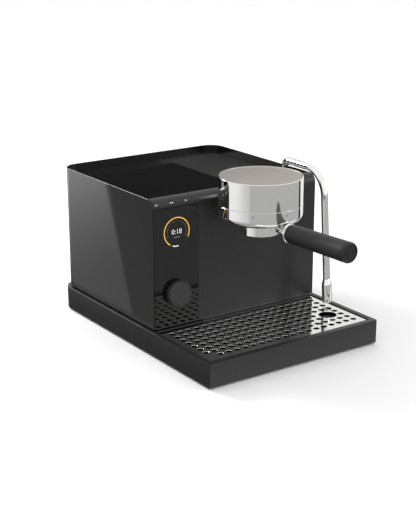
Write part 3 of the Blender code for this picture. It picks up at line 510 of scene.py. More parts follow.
tree.links.new(gloss.outputs["Result"], shader.inputs["Roughness"])
tree.links.new(relief.outputs["Normal"], shader.inputs["Normal"])

SHEET, ROLL, BEND = 0.0015, 0.0145, 0.028       # thickness, and radii at the front and rear
SLOTS, SLOT_PITCH, SLOT_TALL = 6, 0.0075, 0.003
SLOT_LEFT, SLOT_RIGHT, SLOT_LOW = 0.040, 0.110, 0.163
INLET_LEFT, INLET_RIGHT, INLET_LOW, INLET_HIGH = 0.0865, 0.1135, 0.1140, 0.1340
THROUGH = 0.004                                 # half the length of a cutter through it
case_low, case_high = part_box("casing_shell")
casing = block("casing_sheet", case_low, case_high)
edit(casing)
pick('FACE', lambda f: abs(f.normal.z) > 0.9 or f.normal.y < -0.9)
bpy.ops.mesh.delete(type='FACE')
pick('EDGE', lambda e: e.verts[0].co.y > case_high.y - 0.001
     and e.verts[1].co.y > case_high.y - 0.001 and abs(e.verts[0].co.x - e.verts[1].co.x) < 0.001)
bpy.ops.mesh.bevel(offset=BEND, segments=24, profile=0.5, affect='EDGES')
pick('VERT', lambda v: v.co.y < case_low.y + 0.001 and v.co.z > case_high.z - 0.001)
bpy.ops.mesh.bevel(offset=ROLL, segments=16, profile=0.5, affect='VERTICES')
bpy.ops.mesh.select_all(action='SELECT')
bpy.ops.mesh.normals_make_consistent(inside=False)
done()
wall = casing.modifiers.new("sheet", 'SOLIDIFY')
wall.thickness = SHEET
wall.offset = -1.0
apply_modifiers(casing)
inlet_low, inlet_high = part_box("power_inlet")
slots = []
for i in range(SLOTS):
    slot_low = SLOT_LOW + SLOT_PITCH * i
    slots.append(block("vent", (SLOT_LEFT, case_high.y - THROUGH, slot_low),
                       (SLOT_RIGHT, case_high.y + THROUGH, slot_low + SLOT_TALL)))
cut(casing, block("inlet_way", (INLET_LEFT, case_high.y - THROUGH, INLET_LOW),
                  (INLET_RIGHT, case_high.y + THROUGH, INLET_HIGH)), *slots)
break_edges(casing, 0.0007, 3)
finish_piece(casing, powder_coat, "machine", "casing_shell")


# ---- Front sheet ------------------------------------------------------------------------
# One sheet of the same steel, rolled over at the top into the recess.  It is cut away at the
# left for the glass, pierced for the three keys in the roll and for the group's neck.

# Satin black powder coat: it mirrors only as soft light and dark, with an orange peel
# 1.1 mm wide and a haze 100 mm wide.
satin_coat, tree, shader = new_finish("satin_black_powder_coat", "#1b1b1b", 0.36, IOR=1.5)
place = add_node(tree, "ShaderNodeTexCoord", {}, {})
peel = add_node(tree, "ShaderNodeTexNoise", {}, {"Vector": place.outputs["Object"],
                                                 "Scale": 900.0, "Detail": 3.0})
haze = add_node(tree, "ShaderNodeTexNoise", {}, {"Vector": place.outputs["Object"],
                                                 "Scale": 10.0, "Detail": 4.0})
tone = add_node(tree, "ShaderNodeMix", {"data_type": 'RGBA'},
                {0: haze.outputs["Fac"], 6: linear("#191919"), 7: linear("#1d1d1d")})
gloss = add_node(tree, "ShaderNodeMapRange", {}, {"Value": haze.outputs["Fac"],
                                                  "To Min": 0.32, "To Max": 0.40})
relief = add_node(tree, "ShaderNodeBump", {}, {"Height": peel.outputs["Fac"],
                                               "Strength": 0.04, "Distance": 0.0002})
tree.links.new(tone.outputs[2], shader.inputs["Base Color"])
tree.links.new(gloss.outputs["Result"], shader.inputs["Roughness"])
tree.links.new(relief.outputs["Normal"], shader.inputs["Normal"])

LIP_FOOT, SILL = 0.2413, 0.030                  # heights: the lip in the recess, the glass
low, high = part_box("front_panel")
roll_centre = Vector((0, low.y + ROLL, high.z - ROLL))
clear_selection()
bpy.ops.mesh.primitive_plane_add(size=1.0)
front = bpy.context.object
front.name = "front_sheet"
front.scale = (high.x - low.x, roll_centre.z - low.z, 1)
front.rotation_euler = (math.radians(90), 0, 0)
front.location = (0, low.y, (roll_centre.z + low.z) / 2)
bpy.ops.object.transform_apply(location=True, rotation=True, scale=True)
edit(front)
pick('EDGE', lambda e: e.verts[0].co.z > roll_centre.z - 0.001
     and e.verts[1].co.z > roll_centre.z - 0.001)
bpy.ops.mesh.spin(steps=16, angle=math.radians(90), center=roll_centre, axis=(1, 0, 0))
bpy.ops.mesh.extrude_region_move(TRANSFORM_OT_translate={"value": (0, high.y - low.y - ROLL, 0)})
bpy.ops.mesh.extrude_region_move(TRANSFORM_OT_translate={"value": (0, 0, LIP_FOOT - high.z)})
bpy.ops.mesh.select_all(action='SELECT')
bpy.ops.mesh.remove_doubles(threshold=0.00001)
bpy.ops.mesh.normals_make_consistent(inside=False)
done()
mesh = front.data
if mesh.polygons[0].normal.y > 0:
    mesh.flip_normals()
wall = front.modifiers.new("sheet", 'SOLIDIFY')
wall.thickness = SHEET
wall.offset = -1.0
wall.use_even_offset = True
apply_modifiers(front)
glass_low, glass_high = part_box("glass_panel")
neck_low, neck_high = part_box("group_neck")
KEY_ANGLE = math.radians(27)                    # up from the front
KEY_WAY = (0.0086, 0.0081)
key_spots = []
for node in ("key_left", "key_middle", "key_right"):
    key_low, key_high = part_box(node)
    key_spots.append((key_low.x + key_high.x) / 2)


def on_roll(x, size, depth, proud, name):
    """A box set square into the roll at the keys' angle."""
    piece = block(name, (-size[0] / 2, -proud, -size[1] / 2), (size[0] / 2, depth, size[1] / 2))
    centre = roll_centre - Vector((0, math.cos(KEY_ANGLE), -math.sin(KEY_ANGLE))) * ROLL
    piece.rotation_euler = (-KEY_ANGLE, 0, 0)
    piece.location = (x, centre.y, centre.z)
    bpy.ops.object.transform_apply(location=True, rotation=True, scale=True)
    return piece


NECK_FIT, BEFORE, BEHIND = 0.0015, 0.005, 0.008
cut(front,
    block("glass_way", (low.x - PAST, low.y - BEFORE, SILL),
          (glass_high.x + FIT, low.y + BEHIND, glass_high.z + 0.0010)),
    block("neck_way", (neck_low.x - NECK_FIT, low.y - BEFORE, neck_low.z - NECK_FIT),
          (neck_high.x + NECK_FIT, low.y + BEHIND, neck_high.z + NECK_FIT)),
    *[on_roll(x, KEY_WAY, 0.004, 0.003, "key_way") for x in key_spots])
break_edges(front, 0.0003, 2, 30)
finish_piece(front, satin_coat, "machine", "front_panel")


# ---- Keys -------------------------------------------------------------------------------
# Three push keys in ABS, coated satin black like the sheet, their faces curved to continue
# the roll.  Each carries a small light grey print: a cup, two cups and a puff of steam.

# Pad-printed ink, light grey: flat and dry, its cover uneven in specks 0.3 mm wide.
print_ink, tree, shader = new_finish("light_grey_pad_print", "#c9c9c7", 0.55)
place = add_node(tree, "ShaderNodeTexCoord", {}, {})
cover = add_node(tree, "ShaderNodeTexNoise", {}, {"Vector": place.outputs["Object"],
                                                  "Scale": 3000.0, "Detail": 2.0})
tone = add_node(tree, "ShaderNodeMix", {"data_type": 'RGBA'},
                {0: cover.outputs["Fac"], 6: linear("#b9b9b7"), 7: linear("#d6d6d4")})
tree.links.new(tone.outputs[2], shader.inputs["Base Color"])

KEY_HALF, KEY_DEEP = 0.0040, 0.0032             # half its width, and its thickness
low_angle, high_angle = math.radians(12), math.radians(42)
# each picture's strips as (across, up, width, height) in millimetres
PICTURES = {"cup": ((-0.5, 0.5, 4.2, 0.9), (-0.5, -1.0, 2.8, 0.8), (2.4, -0.1, 0.7, 1.8)),
            "two_cups": ((-1.8, 0.0, 2.5, 2.2), (1.8, 0.0, 2.5, 2.2)),
            "steam": ((-1.9, 0.0, 0.8, 3.0), (0.0, 0.0, 0.8, 3.0), (1.9, 0.0, 0.8, 3.0))}
for node, x, picture in zip(("key_left", "key_middle", "key_right"), key_spots, PICTURES):
    body = node.split("_")[1] + "_key"
    clear_selection()
    bpy.ops.mesh.primitive_plane_add(size=1.0)
    key = bpy.context.object
    key.name = node + "_cap"
    edit(key)
    pick('VERT', lambda v: v.co.y > 0)
    bpy.ops.mesh.delete(type='VERT')
    mesh = bmesh.from_edit_mesh(key.data)
    mesh.verts.ensure_lookup_table()
    for vert, side in zip(mesh.verts, (-1, 1)):
        vert.co = (x + side * KEY_HALF, roll_centre.y - ROLL * math.cos(low_angle),
                   roll_centre.z + ROLL * math.sin(low_angle))
    bmesh.update_edit_mesh(key.data)
    bpy.ops.mesh.select_mode(type='EDGE')
    bpy.ops.mesh.select_all(action='SELECT')
    bpy.ops.mesh.spin(steps=8, angle=high_angle - low_angle, center=roll_centre, axis=(1, 0, 0))
    bpy.ops.mesh.select_all(action='SELECT')
    bpy.ops.mesh.normals_make_consistent(inside=False)
    done()
    if key.data.polygons[0].normal.y > 0:
        key.data.flip_normals()
    body_wall = key.modifiers.new("moulding", 'SOLIDIFY')
    body_wall.thickness = KEY_DEEP
    body_wall.offset = -1.0
    apply_modifiers(key)
    break_edges(key, 0.0003, 2, 30)
    finish_piece(key, satin_coat, body, node)

    # the strips lie flat, 0.1 mm proud of the key
    up = Vector((0, math.sin(KEY_ANGLE), math.cos(KEY_ANGLE)))
    parts = []
    for across, rise, width, tall in PICTURES[picture]:
        part = on_roll(x + across / 1000, (width / 1000, tall / 1000), 0.0006, 0.0001, "strip")
        part.data.transform(Matrix.Translation(up * rise / 1000))
        parts.append(part)
    clear_selection()
    for part in parts:
        part.select_set(True)
    bpy.context.view_layer.objects.active = parts[0]
    bpy.ops.object.join()
    picture_piece = bpy.context.object
    picture_piece.name = node + "_print"
    break_edges(picture_piece, 0.00005, 1)
    finish_piece(picture_piece, print_ink, body)


# ---- Control glass and display ----------------------------------------------------------
# A pane of black-backed glass, polished like a mirror, set flush in the front.  The round
# display behind it lights a gold ring, fine ticks, a timer's figures and two short bars.

# Polished glass, backed with black: a sharp dark mirror, with wipe marks 55 mm wide.
black_glass, tree, shader = new_finish("black_backed_glass", "#0b0a09", 0.03, IOR=1.52)
place = add_node(tree, "ShaderNodeTexCoord", {}, {})
smear = add_node(tree, "ShaderNodeTexNoise", {}, {"Vector": place.outputs["Object"],
                                                  "Scale": 18.0, "Detail": 5.0})
gloss = add_node(tree, "ShaderNodeMapRange", {}, {"Value": smear.outputs["Fac"],
                                                  "To Min": 0.04, "To Max": 0.09})
tree.links.new(gloss.outputs["Result"], shader.inputs["Roughness"])

knob_low, knob_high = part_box("control_knob")
knob_middle = (knob_low + knob_high) / 2
glass = block("control_glass", glass_low, glass_high)
ahead = Vector((0, -1, 0))


def aim(piece, place, direction):
    """Turns a piece made along Z to lie along a direction from a place."""
    turn = direction.to_track_quat('Z', 'Y').to_matrix().to_4x4()
    piece.data.transform(Matrix.Translation(place) @ turn)
    return piece


shaft_hole = turned("shaft_hole", (0, 0, 0), [(0.0040, -0.01), (0.0040, 0.01)], 32)
cut(glass, aim(shaft_hole, Vector((knob_middle.x, glass_low.y, knob_middle.z)), ahead))
break_edges(glass, 0.0003, 2, 30)
finish_piece(glass, black_glass, "machine", "glass_panel")

screen_low, screen_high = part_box("display_module")
screen = (screen_low + screen_high) / 2
face_y = glass_low.y - 0.00005


def lit(name, colour, strength):
    """A backlit colour: it glows by itself, a touch uneven over 8 mm as a panel's light is."""
    material, tree, shader = new_finish(name, colour, 0.3)
    shader.inputs["Emission Strength"].default_value = strength
    place = add_node(tree, "ShaderNodeTexCoord", {}, {})
    uneven = add_node(tree, "ShaderNodeTexNoise", {}, {"Vector": place.outputs["Object"],
                                                       "Scale": 120.0, "Detail": 1.0})
    tone = add_node(tree, "ShaderNodeMix", {"data_type": 'RGBA'},
                    {0: uneven.outputs["Fac"], 7: linear(colour),
                     6: tuple(c * 0.9 for c in linear(colour)[:3]) + (1,)})
    tree.links.new(tone.outputs[2], shader.inputs["Emission Color"])
    return material


def dial_arc(name, inner, outer, start, stop, material):
    """A flat ring segment on the dial, angles clockwise from the top in degrees."""
    clear_selection()
    bpy.ops.mesh.primitive_circle_add(vertices=180, radius=inner,
                                      rotation=(math.radians(90), 0, 0),
                                      location=(screen.x, face_y, screen.z))
    piece = bpy.context.object
    piece.name = name
    bpy.ops.object.transform_apply(location=True, rotation=True, scale=True)
    bpy.ops.object.mode_set(mode='EDIT')
    bpy.ops.mesh.select_mode(type='EDGE')
    bpy.ops.mesh.select_all(action='SELECT')
    bpy.ops.mesh.extrude_region_move()
    spread = outer / inner
    bpy.ops.transform.resize(value=(spread, 1, spread),
                             center_override=(screen.x, face_y, screen.z))

    def outside(face):
        middle = face.calc_center_median()
        angle = math.degrees(math.atan2(middle.x - screen.x, middle.z - screen.z)) % 360
        return (angle - start) % 360 > (stop - start) % 360
    pick('FACE', outside)
    bpy.ops.mesh.delete(type='FACE')
    bpy.ops.mesh.select_all(action='SELECT')
    bpy.ops.mesh.extrude_region_move(TRANSFORM_OT_translate={"value": (0, -0.00010, 0)})
    bpy.ops.mesh.select_all(action='SELECT')
    bpy.ops.mesh.normals_make_consistent(inside=False)
    done()
    finish_piece(piece, material, "machine")
    return piece


gold_light = lit("gold_backlight", "#d9a441", 0.75)
white_light = lit("white_backlight", "#e8e8e6", 0.5)
dim_light = lit("dim_backlight", "#8b8b88", 0.35)
dial_arc("dial_ring", 0.0223, 0.0238, 212, 118, gold_light)
dial_arc("dial_mark", 0.0223, 0.0237, 171, 200, white_light)
TICKS, FIRST, STEP, WIDE = 16, -112, 15, 3      # degrees
for i in range(TICKS):
    angle = FIRST + i * STEP
    dial_arc("dial_tick_%d" % (i + 1), 0.0172, 0.0181, angle % 360, (angle + WIDE) % 360,
             dim_light)
clear_selection()
bpy.ops.object.text_add(location=(screen.x, face_y, screen.z - 0.0032),
                        rotation=(math.radians(90), 0, 0))
figures = bpy.context.object
figures.name = "dial_figures"
figures.data.body = "0:18"
figures.data.size = 0.0112
figures.data.align_x = 'CENTER'
figures.data.extrude = 0.00005
figures.data.offset = -0.00012
bpy.ops.object.convert(target='MESH')
bpy.ops.object.transform_apply(location=True, rotation=True, scale=True)
figures = bpy.context.object
finish_piece(figures, white_light, "machine")
bar = block("dial_bar", (screen.x - 0.0055, face_y - 0.0001, screen.z - 0.0088),
            (screen.x + 0.0055, face_y, screen.z - 0.0079))
break_edges(bar, 0.00004, 1)
finish_piece(bar, dim_light, "machine")


# ---- Control knob -----------------------------------------------------------------------
# Turned aluminium, bead-blasted and anodised dark grey, so its face is an even satin.  A
# chamfer and a shallow groove ring the face, and it pushes on a steel shaft.

# Blasted and anodised aluminium: an even dark satin.  Its sparkle is drawn 0.5 mm wide, as
# the real 0.1 mm of the bead blast would not show.
anodised, tree, shader = new_finish("dark_anodised_aluminium", "#404040", 0.42, 0.5)
place = add_node(tree, "ShaderNodeTexCoord", {}, {})
blast = add_node(tree, "ShaderNodeTexNoise", {}, {"Vector": place.outputs["Object"],
                                                  "Scale": 2200.0, "Detail": 2.0})
tone = add_node(tree, "ShaderNodeMix", {"data_type": 'RGBA'},
                {0: blast.outputs["Fac"], 6: linear("#3d3d3d"), 7: linear("#434343")})
relief = add_node(tree, "ShaderNodeBump", {}, {"Height": blast.outputs["Fac"],
                                               "Strength": 0.15, "Distance": 0.0001})
tree.links.new(tone.outputs[2], shader.inputs["Base Color"])
tree.links.new(relief.outputs["Normal"], shader.inputs["Normal"])

knob = turned("knob_body", (0, 0, 0),
              [(0.0033, 0.0084), (0.0033, 0.0012), (0.0206, 0.0012), (0.0210, 0.0016),
               (0.0210, 0.0106), (0.0199, 0.0118), (0.0190, 0.0118), (0.0187, 0.0113),
               (0.0184, 0.0116), (0.0020, 0.0116)], 128)
aim(knob, Vector((knob_middle.x, glass_low.y, knob_middle.z)), ahead)
smooth(knob, 30)
finish_piece(knob, anodised, "knob", "control_knob")


# ---- Top: tank lid, warming plate and inner frame ---------------------------------------
# The recess in the top holds two flat pieces: at the left the gloss black lid of the tank,
# at the right the lower warming plate in dull grey, with a moulded frame beneath them.

def refined(node, name, width):
    """A copy of a plain node with its triangles merged and its edges broken."""
    clear_selection()
    piece = frame["nodes"][node].copy()
    piece.data = frame["nodes"][node].data.copy()
    piece.name = name
    piece.parent = None
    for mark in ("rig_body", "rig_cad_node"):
        if mark in piece:
            del piece[mark]
    bpy.context.scene.collection.objects.link(piece)
    edit(piece)
    bpy.ops.mesh.select_all(action='SELECT')
    bpy.ops.mesh.remove_doubles(threshold=0.000005)
    bpy.ops.mesh.dissolve_limited(angle_limit=math.radians(0.5))
    done()
    if "sharp_edge" in piece.data.attributes:
        piece.data.attributes.remove(piece.data.attributes["sharp_edge"])
    break_edges(piece, width, 2, 30)
    return piece


# Dark grey powder coat: dull, and a shade lighter than the lid, with a peel 1.1 mm wide.
plate_coat, tree, shader = new_finish("dark_grey_powder_coat", "#2e2e2e", 0.36)
place = add_node(tree, "ShaderNodeTexCoord", {}, {})
peel = add_node(tree, "ShaderNodeTexNoise", {}, {"Vector": place.outputs["Object"],
                                                 "Scale": 900.0, "Detail": 3.0})
tone = add_node(tree, "ShaderNodeMix", {"data_type": 'RGBA'},
                {0: peel.outputs["Fac"], 6: linear("#2c2c2c"), 7: linear("#303030")})
relief = add_node(tree, "ShaderNodeBump", {}, {"Height": peel.outputs["Fac"],
                                               "Strength": 0.06, "Distance": 0.0002})
tree.links.new(tone.outputs[2], shader.inputs["Base Color"])
tree.links.new(relief.outputs["Normal"], shader.inputs["Normal"])

finish_piece(refined("tank_lid", "lid_sheet", 0.0004), powder_coat, "lid", "tank_lid")
finish_piece(refined("cup_plate", "warming_plate", 0.0004), plate_coat, "machine", "cup_plate")
finish_piece(refined("deck_frame", "deck_moulding", 0.0003), moulded_abs, "machine",
             "deck_frame")


# ---- Group head -------------------------------------------------------------------------
# A drawn steel pot, polished and chrome plated, in two rings that meet in a hair-line seam:
# a plain upper wall with a thin lip round the brushed cap, and a lower ring that rolls in
# under the group.  Two small dark dots mark where the handle locks and unlocks.

# Chrome plate on polished metal: a full mirror, a little duller in smears 33 mm wide.
chrome, tree, shader = new_finish("mirror_chrome_plate", "#eeeeed", 0.04, 1.0)
place = add_node(tree, "ShaderNodeTexCoord", {}, {})
smear = add_node(tree, "ShaderNodeTexNoise", {}, {"Vector": place.outputs["Object"],
                                                  "Scale": 30.0, "Detail": 5.0})
gloss = add_node(tree, "ShaderNodeMapRange", {}, {"Value": smear.outputs["Fac"],
                                                  "To Min": 0.02, "To Max": 0.07})
tone = add_node(tree, "ShaderNodeMix", {"data_type": 'RGBA'},
                {0: smear.outputs["Fac"], 6: linear("#eaeae9"), 7: linear("#f1f1f0")})
tree.links.new(gloss.outputs["Result"], shader.inputs["Roughness"])
tree.links.new(tone.outputs[2], shader.inputs["Base Color"])

pot_low, pot_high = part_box("group_housing")
skirt_low, skirt_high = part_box("group_skirt")
pot = (pot_low + pot_high) / 2
pot_radius = (pot_high.x - pot_low.x) / 2
inside = pot_radius - SHEET
SEAT = 0.0580                                   # inner radius of the ring under the cap
seat_top = pot_high.z - 0.0022
pot_wall = turned("pot_wall", (pot.x, pot.y, 0),
                  [(pot_radius - 0.0004, pot_low.z), (pot_radius, pot_low.z + 0.0004),
                   (pot_radius, pot_high.z - 0.0005), (pot_radius - 0.0005, pot_high.z),
                   (inside + 0.0003, pot_high.z), (inside, pot_high.z - 0.0003),
                   (inside, seat_top), (SEAT, seat_top), (SEAT, seat_top - SHEET),
                   (inside, seat_top - SHEET), (inside, pot_low.z)], 160, ring=True)
smooth(pot_wall, 30)
finish_piece(pot_wall, chrome, "machine", "group_housing")

FILLET, MOUTH = 0.012, 0.0380                   # radii: where it rolls in, and its hole
profile = [(pot_radius - 0.0004, skirt_high.z), (pot_radius, skirt_high.z - 0.0004)]
for i in range(13):
    angle = math.radians(90 * i / 12)
    profile.append((pot_radius - FILLET + FILLET * math.cos(angle),
                    skirt_low.z + FILLET - FILLET * math.sin(angle)))
profile += [(MOUTH, skirt_low.z), (MOUTH, skirt_low.z + SHEET)]
for i in range(9):
    angle = math.radians(90 - 90 * i / 8)
    radius = FILLET - SHEET
    profile.append((pot_radius - FILLET + radius * math.cos(angle),
                    skirt_low.z + FILLET - radius * math.sin(angle)))
profile.append((inside, skirt_high.z))
skirt = turned("pot_skirt", (pot.x, pot.y, 0), profile, 160, ring=True)
cut(skirt, block("neck_way", (neck_low.x - 0.0006, pot.y + 0.040, neck_low.z - 0.0006),
                 (neck_high.x + 0.0006, pot.y + 0.080, neck_high.z + 0.0006)))
smooth(skirt, 30)
finish_piece(skirt, chrome, "machine", "group_skirt")

# Brushed stainless, warm grey: dull from most sides.  Its strokes are 33 mm long and 0.6 mm
# apart, coarser than the real 0.1 mm, so that they show.
brushed_cap, tree, shader = new_finish("brushed_warm_stainless", "#aea89f", 0.34, 1.0)
place = add_node(tree, "ShaderNodeTexCoord", {}, {})
drawn = add_node(tree, "ShaderNodeMapping", {}, {"Vector": place.outputs["Object"],
                                                 "Scale": (30.0, 1800.0, 30.0)})
lines = add_node(tree, "ShaderNodeTexNoise", {}, {"Vector": drawn.outputs["Vector"],
                                                  "Scale": 1.0, "Detail": 3.0})
tone = add_node(tree, "ShaderNodeMix", {"data_type": 'RGBA'},
                {0: lines.outputs["Fac"], 6: linear("#a6a097"), 7: linear("#b6b0a7")})
gloss = add_node(tree, "ShaderNodeMapRange", {}, {"Value": lines.outputs["Fac"],
                                                  "To Min": 0.28, "To Max": 0.42})
relief = add_node(tree, "ShaderNodeBump", {}, {"Height": lines.outputs["Fac"],
                                               "Strength": 0.05, "Distance": 0.0001})
tree.links.new(tone.outputs[2], shader.inputs["Base Color"])
tree.links.new(gloss.outputs["Result"], shader.inputs["Roughness"])
tree.links.new(relief.outputs["Normal"], shader.inputs["Normal"])
cap_low, cap_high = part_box("group_cap")
cap = turned("pot_cap", (pot.x, pot.y, 0),
             [(0.0200, cap_low.z), (inside - 0.0003, cap_low.z),
              (inside - 0.0003, cap_high.z - 0.0003), (inside - 0.0006, cap_high.z),
              (0.0200, cap_high.z)], 160)
smooth(cap, 30)
finish_piece(cap, brushed_cap, "machine", "group_cap")

DOT_HEIGHT = 0.2362
for name, angle in (("unlock_dot", math.radians(-47)), ("lock_dot", 0.0)):
    dot = turned(name, (0, 0, 0), [(0.0010, -0.0004), (0.0010, 0.00005), (0.0008, 0.00012)], 24)
    out = Vector((math.sin(angle), -math.cos(angle), 0))
    aim(dot, Vector((pot.x, pot.y, DOT_HEIGHT)) + out * pot_radius, out)
    smooth(dot, 30)
    finish_piece(dot, rubber, "machine")


# ---- Portafilter ------------------------------------------------------------------------
# A brass bowl, open below and chrome plated, with two ears that turn under the lock ring
# and a neck that flares out to the handle.  The steel basket hangs in it.

joint = next(j for j in frame["joints"] if j["name"] == "portafilter_turn")
axis = Vector((joint["pos_m"][0], joint["pos_m"][1], 0))
LIE, HANDLE_HEIGHT = math.radians(3.2), 0.2092  # the handle's lie to the right, and height
EAR_REACH = 0.0370
along = Vector((math.sin(LIE), -math.cos(LIE), 0))
handle_line = Vector((axis.x, axis.y, HANDLE_HEIGHT))
bowl = turned("portafilter_bowl", (axis.x, axis.y, 0),
              [(0.0345, 0.2370), (0.0345, 0.2205), (0.0343, 0.2199), (0.0307, 0.2172),
               (0.0305, 0.2166), (0.0305, 0.1959), (0.0301, 0.1955), (0.0295, 0.1955),
               (0.0291, 0.1959), (0.0291, 0.2370)], 128, ring=True)
THIN, THICK, STEPS = 0.0050, 0.0142, 16         # radii of the neck at its two ends
neck_profile = [(THIN, 0.0296)]
for i in range(STEPS + 1):
    share = i / STEPS
    neck_profile.append((THIN + (THICK - THIN) * share ** 3.5, 0.0420 + 0.0235 * share))
neck_profile.append((THICK, 0.0665))
neck = turned("neck", (0, 0, 0), neck_profile, 72)
aim(neck, handle_line, along)
ears = []
for side in (-1, 1):
    ear = block("ear", (-0.0030, -0.0080, 0.2245), (0.0030, 0.0080, 0.2305))
    ear.rotation_euler = (0, 0, LIE)
    ear.location = axis + Vector((math.cos(LIE), math.sin(LIE), 0)) * EAR_REACH * side
    bpy.ops.object.transform_apply(location=True, rotation=True, scale=True)
    ears.append(ear)
cut(bowl, neck, *ears, operation='UNION')
smooth(bowl, 32)
finish_piece(bowl, chrome, "portafilter", "portafilter_body")


# ---- Handle -----------------------------------------------------------------------------
# A chromed collar, then a tapered grip moulded in black nylon with a soft satin face, and a
# screwed end cap whose recessed face is turned in rings.

def turned_along(name, profile):
    """A turned piece on the handle's own line, at distances out from the group's axis."""
    piece = turned(name, (0, 0, 0), profile)
    aim(piece, handle_line, along)
    smooth(piece, 32)
    return piece


collar = turned_along("handle_ring", [(0.0140, 0.0668), (0.0146, 0.0674), (0.0146, 0.0688),
                                      (0.0142, 0.0691), (0.0142, 0.0694), (0.0146, 0.0697),
                                      (0.0146, 0.0709), (0.0140, 0.0715)])
finish_piece(collar, chrome, "portafilter", "handle_collar")

# Moulded nylon: black, with a dull dry sheen.  Its grain is drawn 0.7 mm wide, coarser than
# the real 0.2 mm, so that it shows.
nylon, tree, shader = new_finish("satin_black_nylon", "#121212", 0.5)
place = add_node(tree, "ShaderNodeTexCoord", {}, {})
grain = add_node(tree, "ShaderNodeTexNoise", {}, {"Vector": place.outputs["Object"],
                                                  "Scale": 1500.0, "Detail": 3.0})
tone = add_node(tree, "ShaderNodeMix", {"data_type": 'RGBA'},
                {0: grain.outputs["Fac"], 6: linear("#101010"), 7: linear("#141414")})
relief = add_node(tree, "ShaderNodeBump", {}, {"Height": grain.outputs["Fac"],
                                               "Strength": 0.15, "Distance": 0.0002})
tree.links.new(tone.outputs[2], shader.inputs["Base Color"])
tree.links.new(relief.outputs["Normal"], shader.inputs["Normal"])

grip = turned_along("grip", [(0.0136, 0.0718), (0.0142, 0.0720), (0.0144, 0.0726),
                             (0.0148, 0.1020), (0.0153, 0.1500), (0.0158, 0.1918),
                             (0.0157, 0.1925), (0.0153, 0.1927)])
finish_piece(grip, nylon, "portafilter", "handle_grip")

END = 0.1987                                    # the cap's outer face
rings = [(0.0152, 0.1930), (0.0158, 0.1935), (0.0158, 0.1956), (0.0149, END - 0.0008),
         (0.0142, END - 0.0002), (0.0132, END), (0.0124, END - 0.0004), (0.0120, END - 0.0014),
         (0.0098, END - 0.0016), (0.0094, END - 0.0010), (0.0088, END - 0.0010),
         (0.0084, END - 0.0016), (0.0066, END - 0.0016), (0.0062, END - 0.0010),
         (0.0056, END - 0.0010), (0.0052, END - 0.0016), (0.0034, END - 0.0016),
         (0.0030, END - 0.0010), (0.0010, END - 0.0010)]
grip_cap = turned_along("grip_cap", rings)
finish_piece(grip_cap, nylon, "portafilter", "handle_end_cap")


# ---- Steam wand -------------------------------------------------------------------------
# A stainless tube bent twice and chrome plated.  It comes up through a plated nut in the
# warming plate, arches over the rim, and ends in a screwed nozzle with four steam holes.

WAND, TIP = 0.0059, 0.0410                      # the tube's radius, the nozzle's length
ELBOW, ARCH = 0.0090, 0.0450                    # radii of the two bends
ARM, FOOT_Y, FOOT_Z = 0.2659, -0.0703, 0.0450   # height of the arm, and the nozzle's foot
joint = next(j for j in frame["joints"] if j["name"] == "wand_swing")
swivel = Vector((joint["pos_m"][0], joint["pos_m"][1], 0))
tube_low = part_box("wand_tube")[0]
lean = math.radians(4.7)
down = Vector((0, -math.sin(lean), -math.cos(lean)))
foot = Vector((swivel.x, FOOT_Y, FOOT_Z))
clear_selection()
bpy.ops.mesh.primitive_circle_add(vertices=48, radius=WAND,
                                  location=(swivel.x, swivel.y, tube_low.z))
pipe = bpy.context.object
pipe.name = "wand_pipe"
bpy.ops.object.transform_apply(location=True, rotation=True, scale=True)
bpy.ops.object.mode_set(mode='EDIT')
bpy.ops.mesh.select_mode(type='EDGE')
bpy.ops.mesh.select_all(action='SELECT')
bpy.ops.mesh.extrude_region_move(
    TRANSFORM_OT_translate={"value": (0, 0, ARM - ELBOW - tube_low.z)})
bpy.ops.mesh.spin(steps=10, angle=math.radians(-90), axis=(1, 0, 0),
                  center=(swivel.x, swivel.y - ELBOW, ARM - ELBOW))
corner_y = foot.y + math.tan(lean) * (ARM - foot.z)
tangent = ARCH * math.tan((math.pi / 2 - lean) / 2)
arm_end = corner_y + tangent
bpy.ops.mesh.extrude_region_move(
    TRANSFORM_OT_translate={"value": (0, arm_end - (swivel.y - ELBOW), 0)})
bpy.ops.mesh.spin(steps=24, angle=-(math.pi / 2 - lean), axis=(1, 0, 0),
                  center=(swivel.x, arm_end, ARM - ARCH))
arch_end = Vector((swivel.x, corner_y, ARM)) + down * tangent
tube_end = foot - down * (TIP + FIT)
bpy.ops.mesh.extrude_region_move(TRANSFORM_OT_translate={"value": tube_end - arch_end})
bpy.ops.mesh.select_all(action='SELECT')
bpy.ops.mesh.remove_doubles(threshold=0.000005)
bpy.ops.mesh.fill_holes(sides=0)
bpy.ops.mesh.select_all(action='SELECT')
bpy.ops.mesh.normals_make_consistent(inside=False)
done()
break_edges(pipe, 0.0003)
finish_piece(pipe, chrome, "wand", "wand_tube")

nozzle = turned("wand_nozzle", (0, 0, 0),
                [(0.0058, 0.0), (0.0068, 0.0004), (0.0078, 0.0014), (0.0083, 0.0040),
                 (0.0083, 0.0300), (0.0080, 0.0322), (0.0062, 0.0404), (0.0059, 0.0410)], 96)
HOLE_CIRCLE, STEAM_HOLE = 0.0036, 0.0006        # radii
holes = []
for i in range(4):
    angle = math.radians(45 + 90 * i)
    holes.append(turned("steam_hole",
                        (HOLE_CIRCLE * math.cos(angle), HOLE_CIRCLE * math.sin(angle), 0),
                        [(STEAM_HOLE, -0.001), (STEAM_HOLE, 0.002)], 16))
cut(nozzle, *holes)
aim(nozzle, foot, -down)
smooth(nozzle, 32)
finish_piece(nozzle, chrome, "wand", "wand_tip")

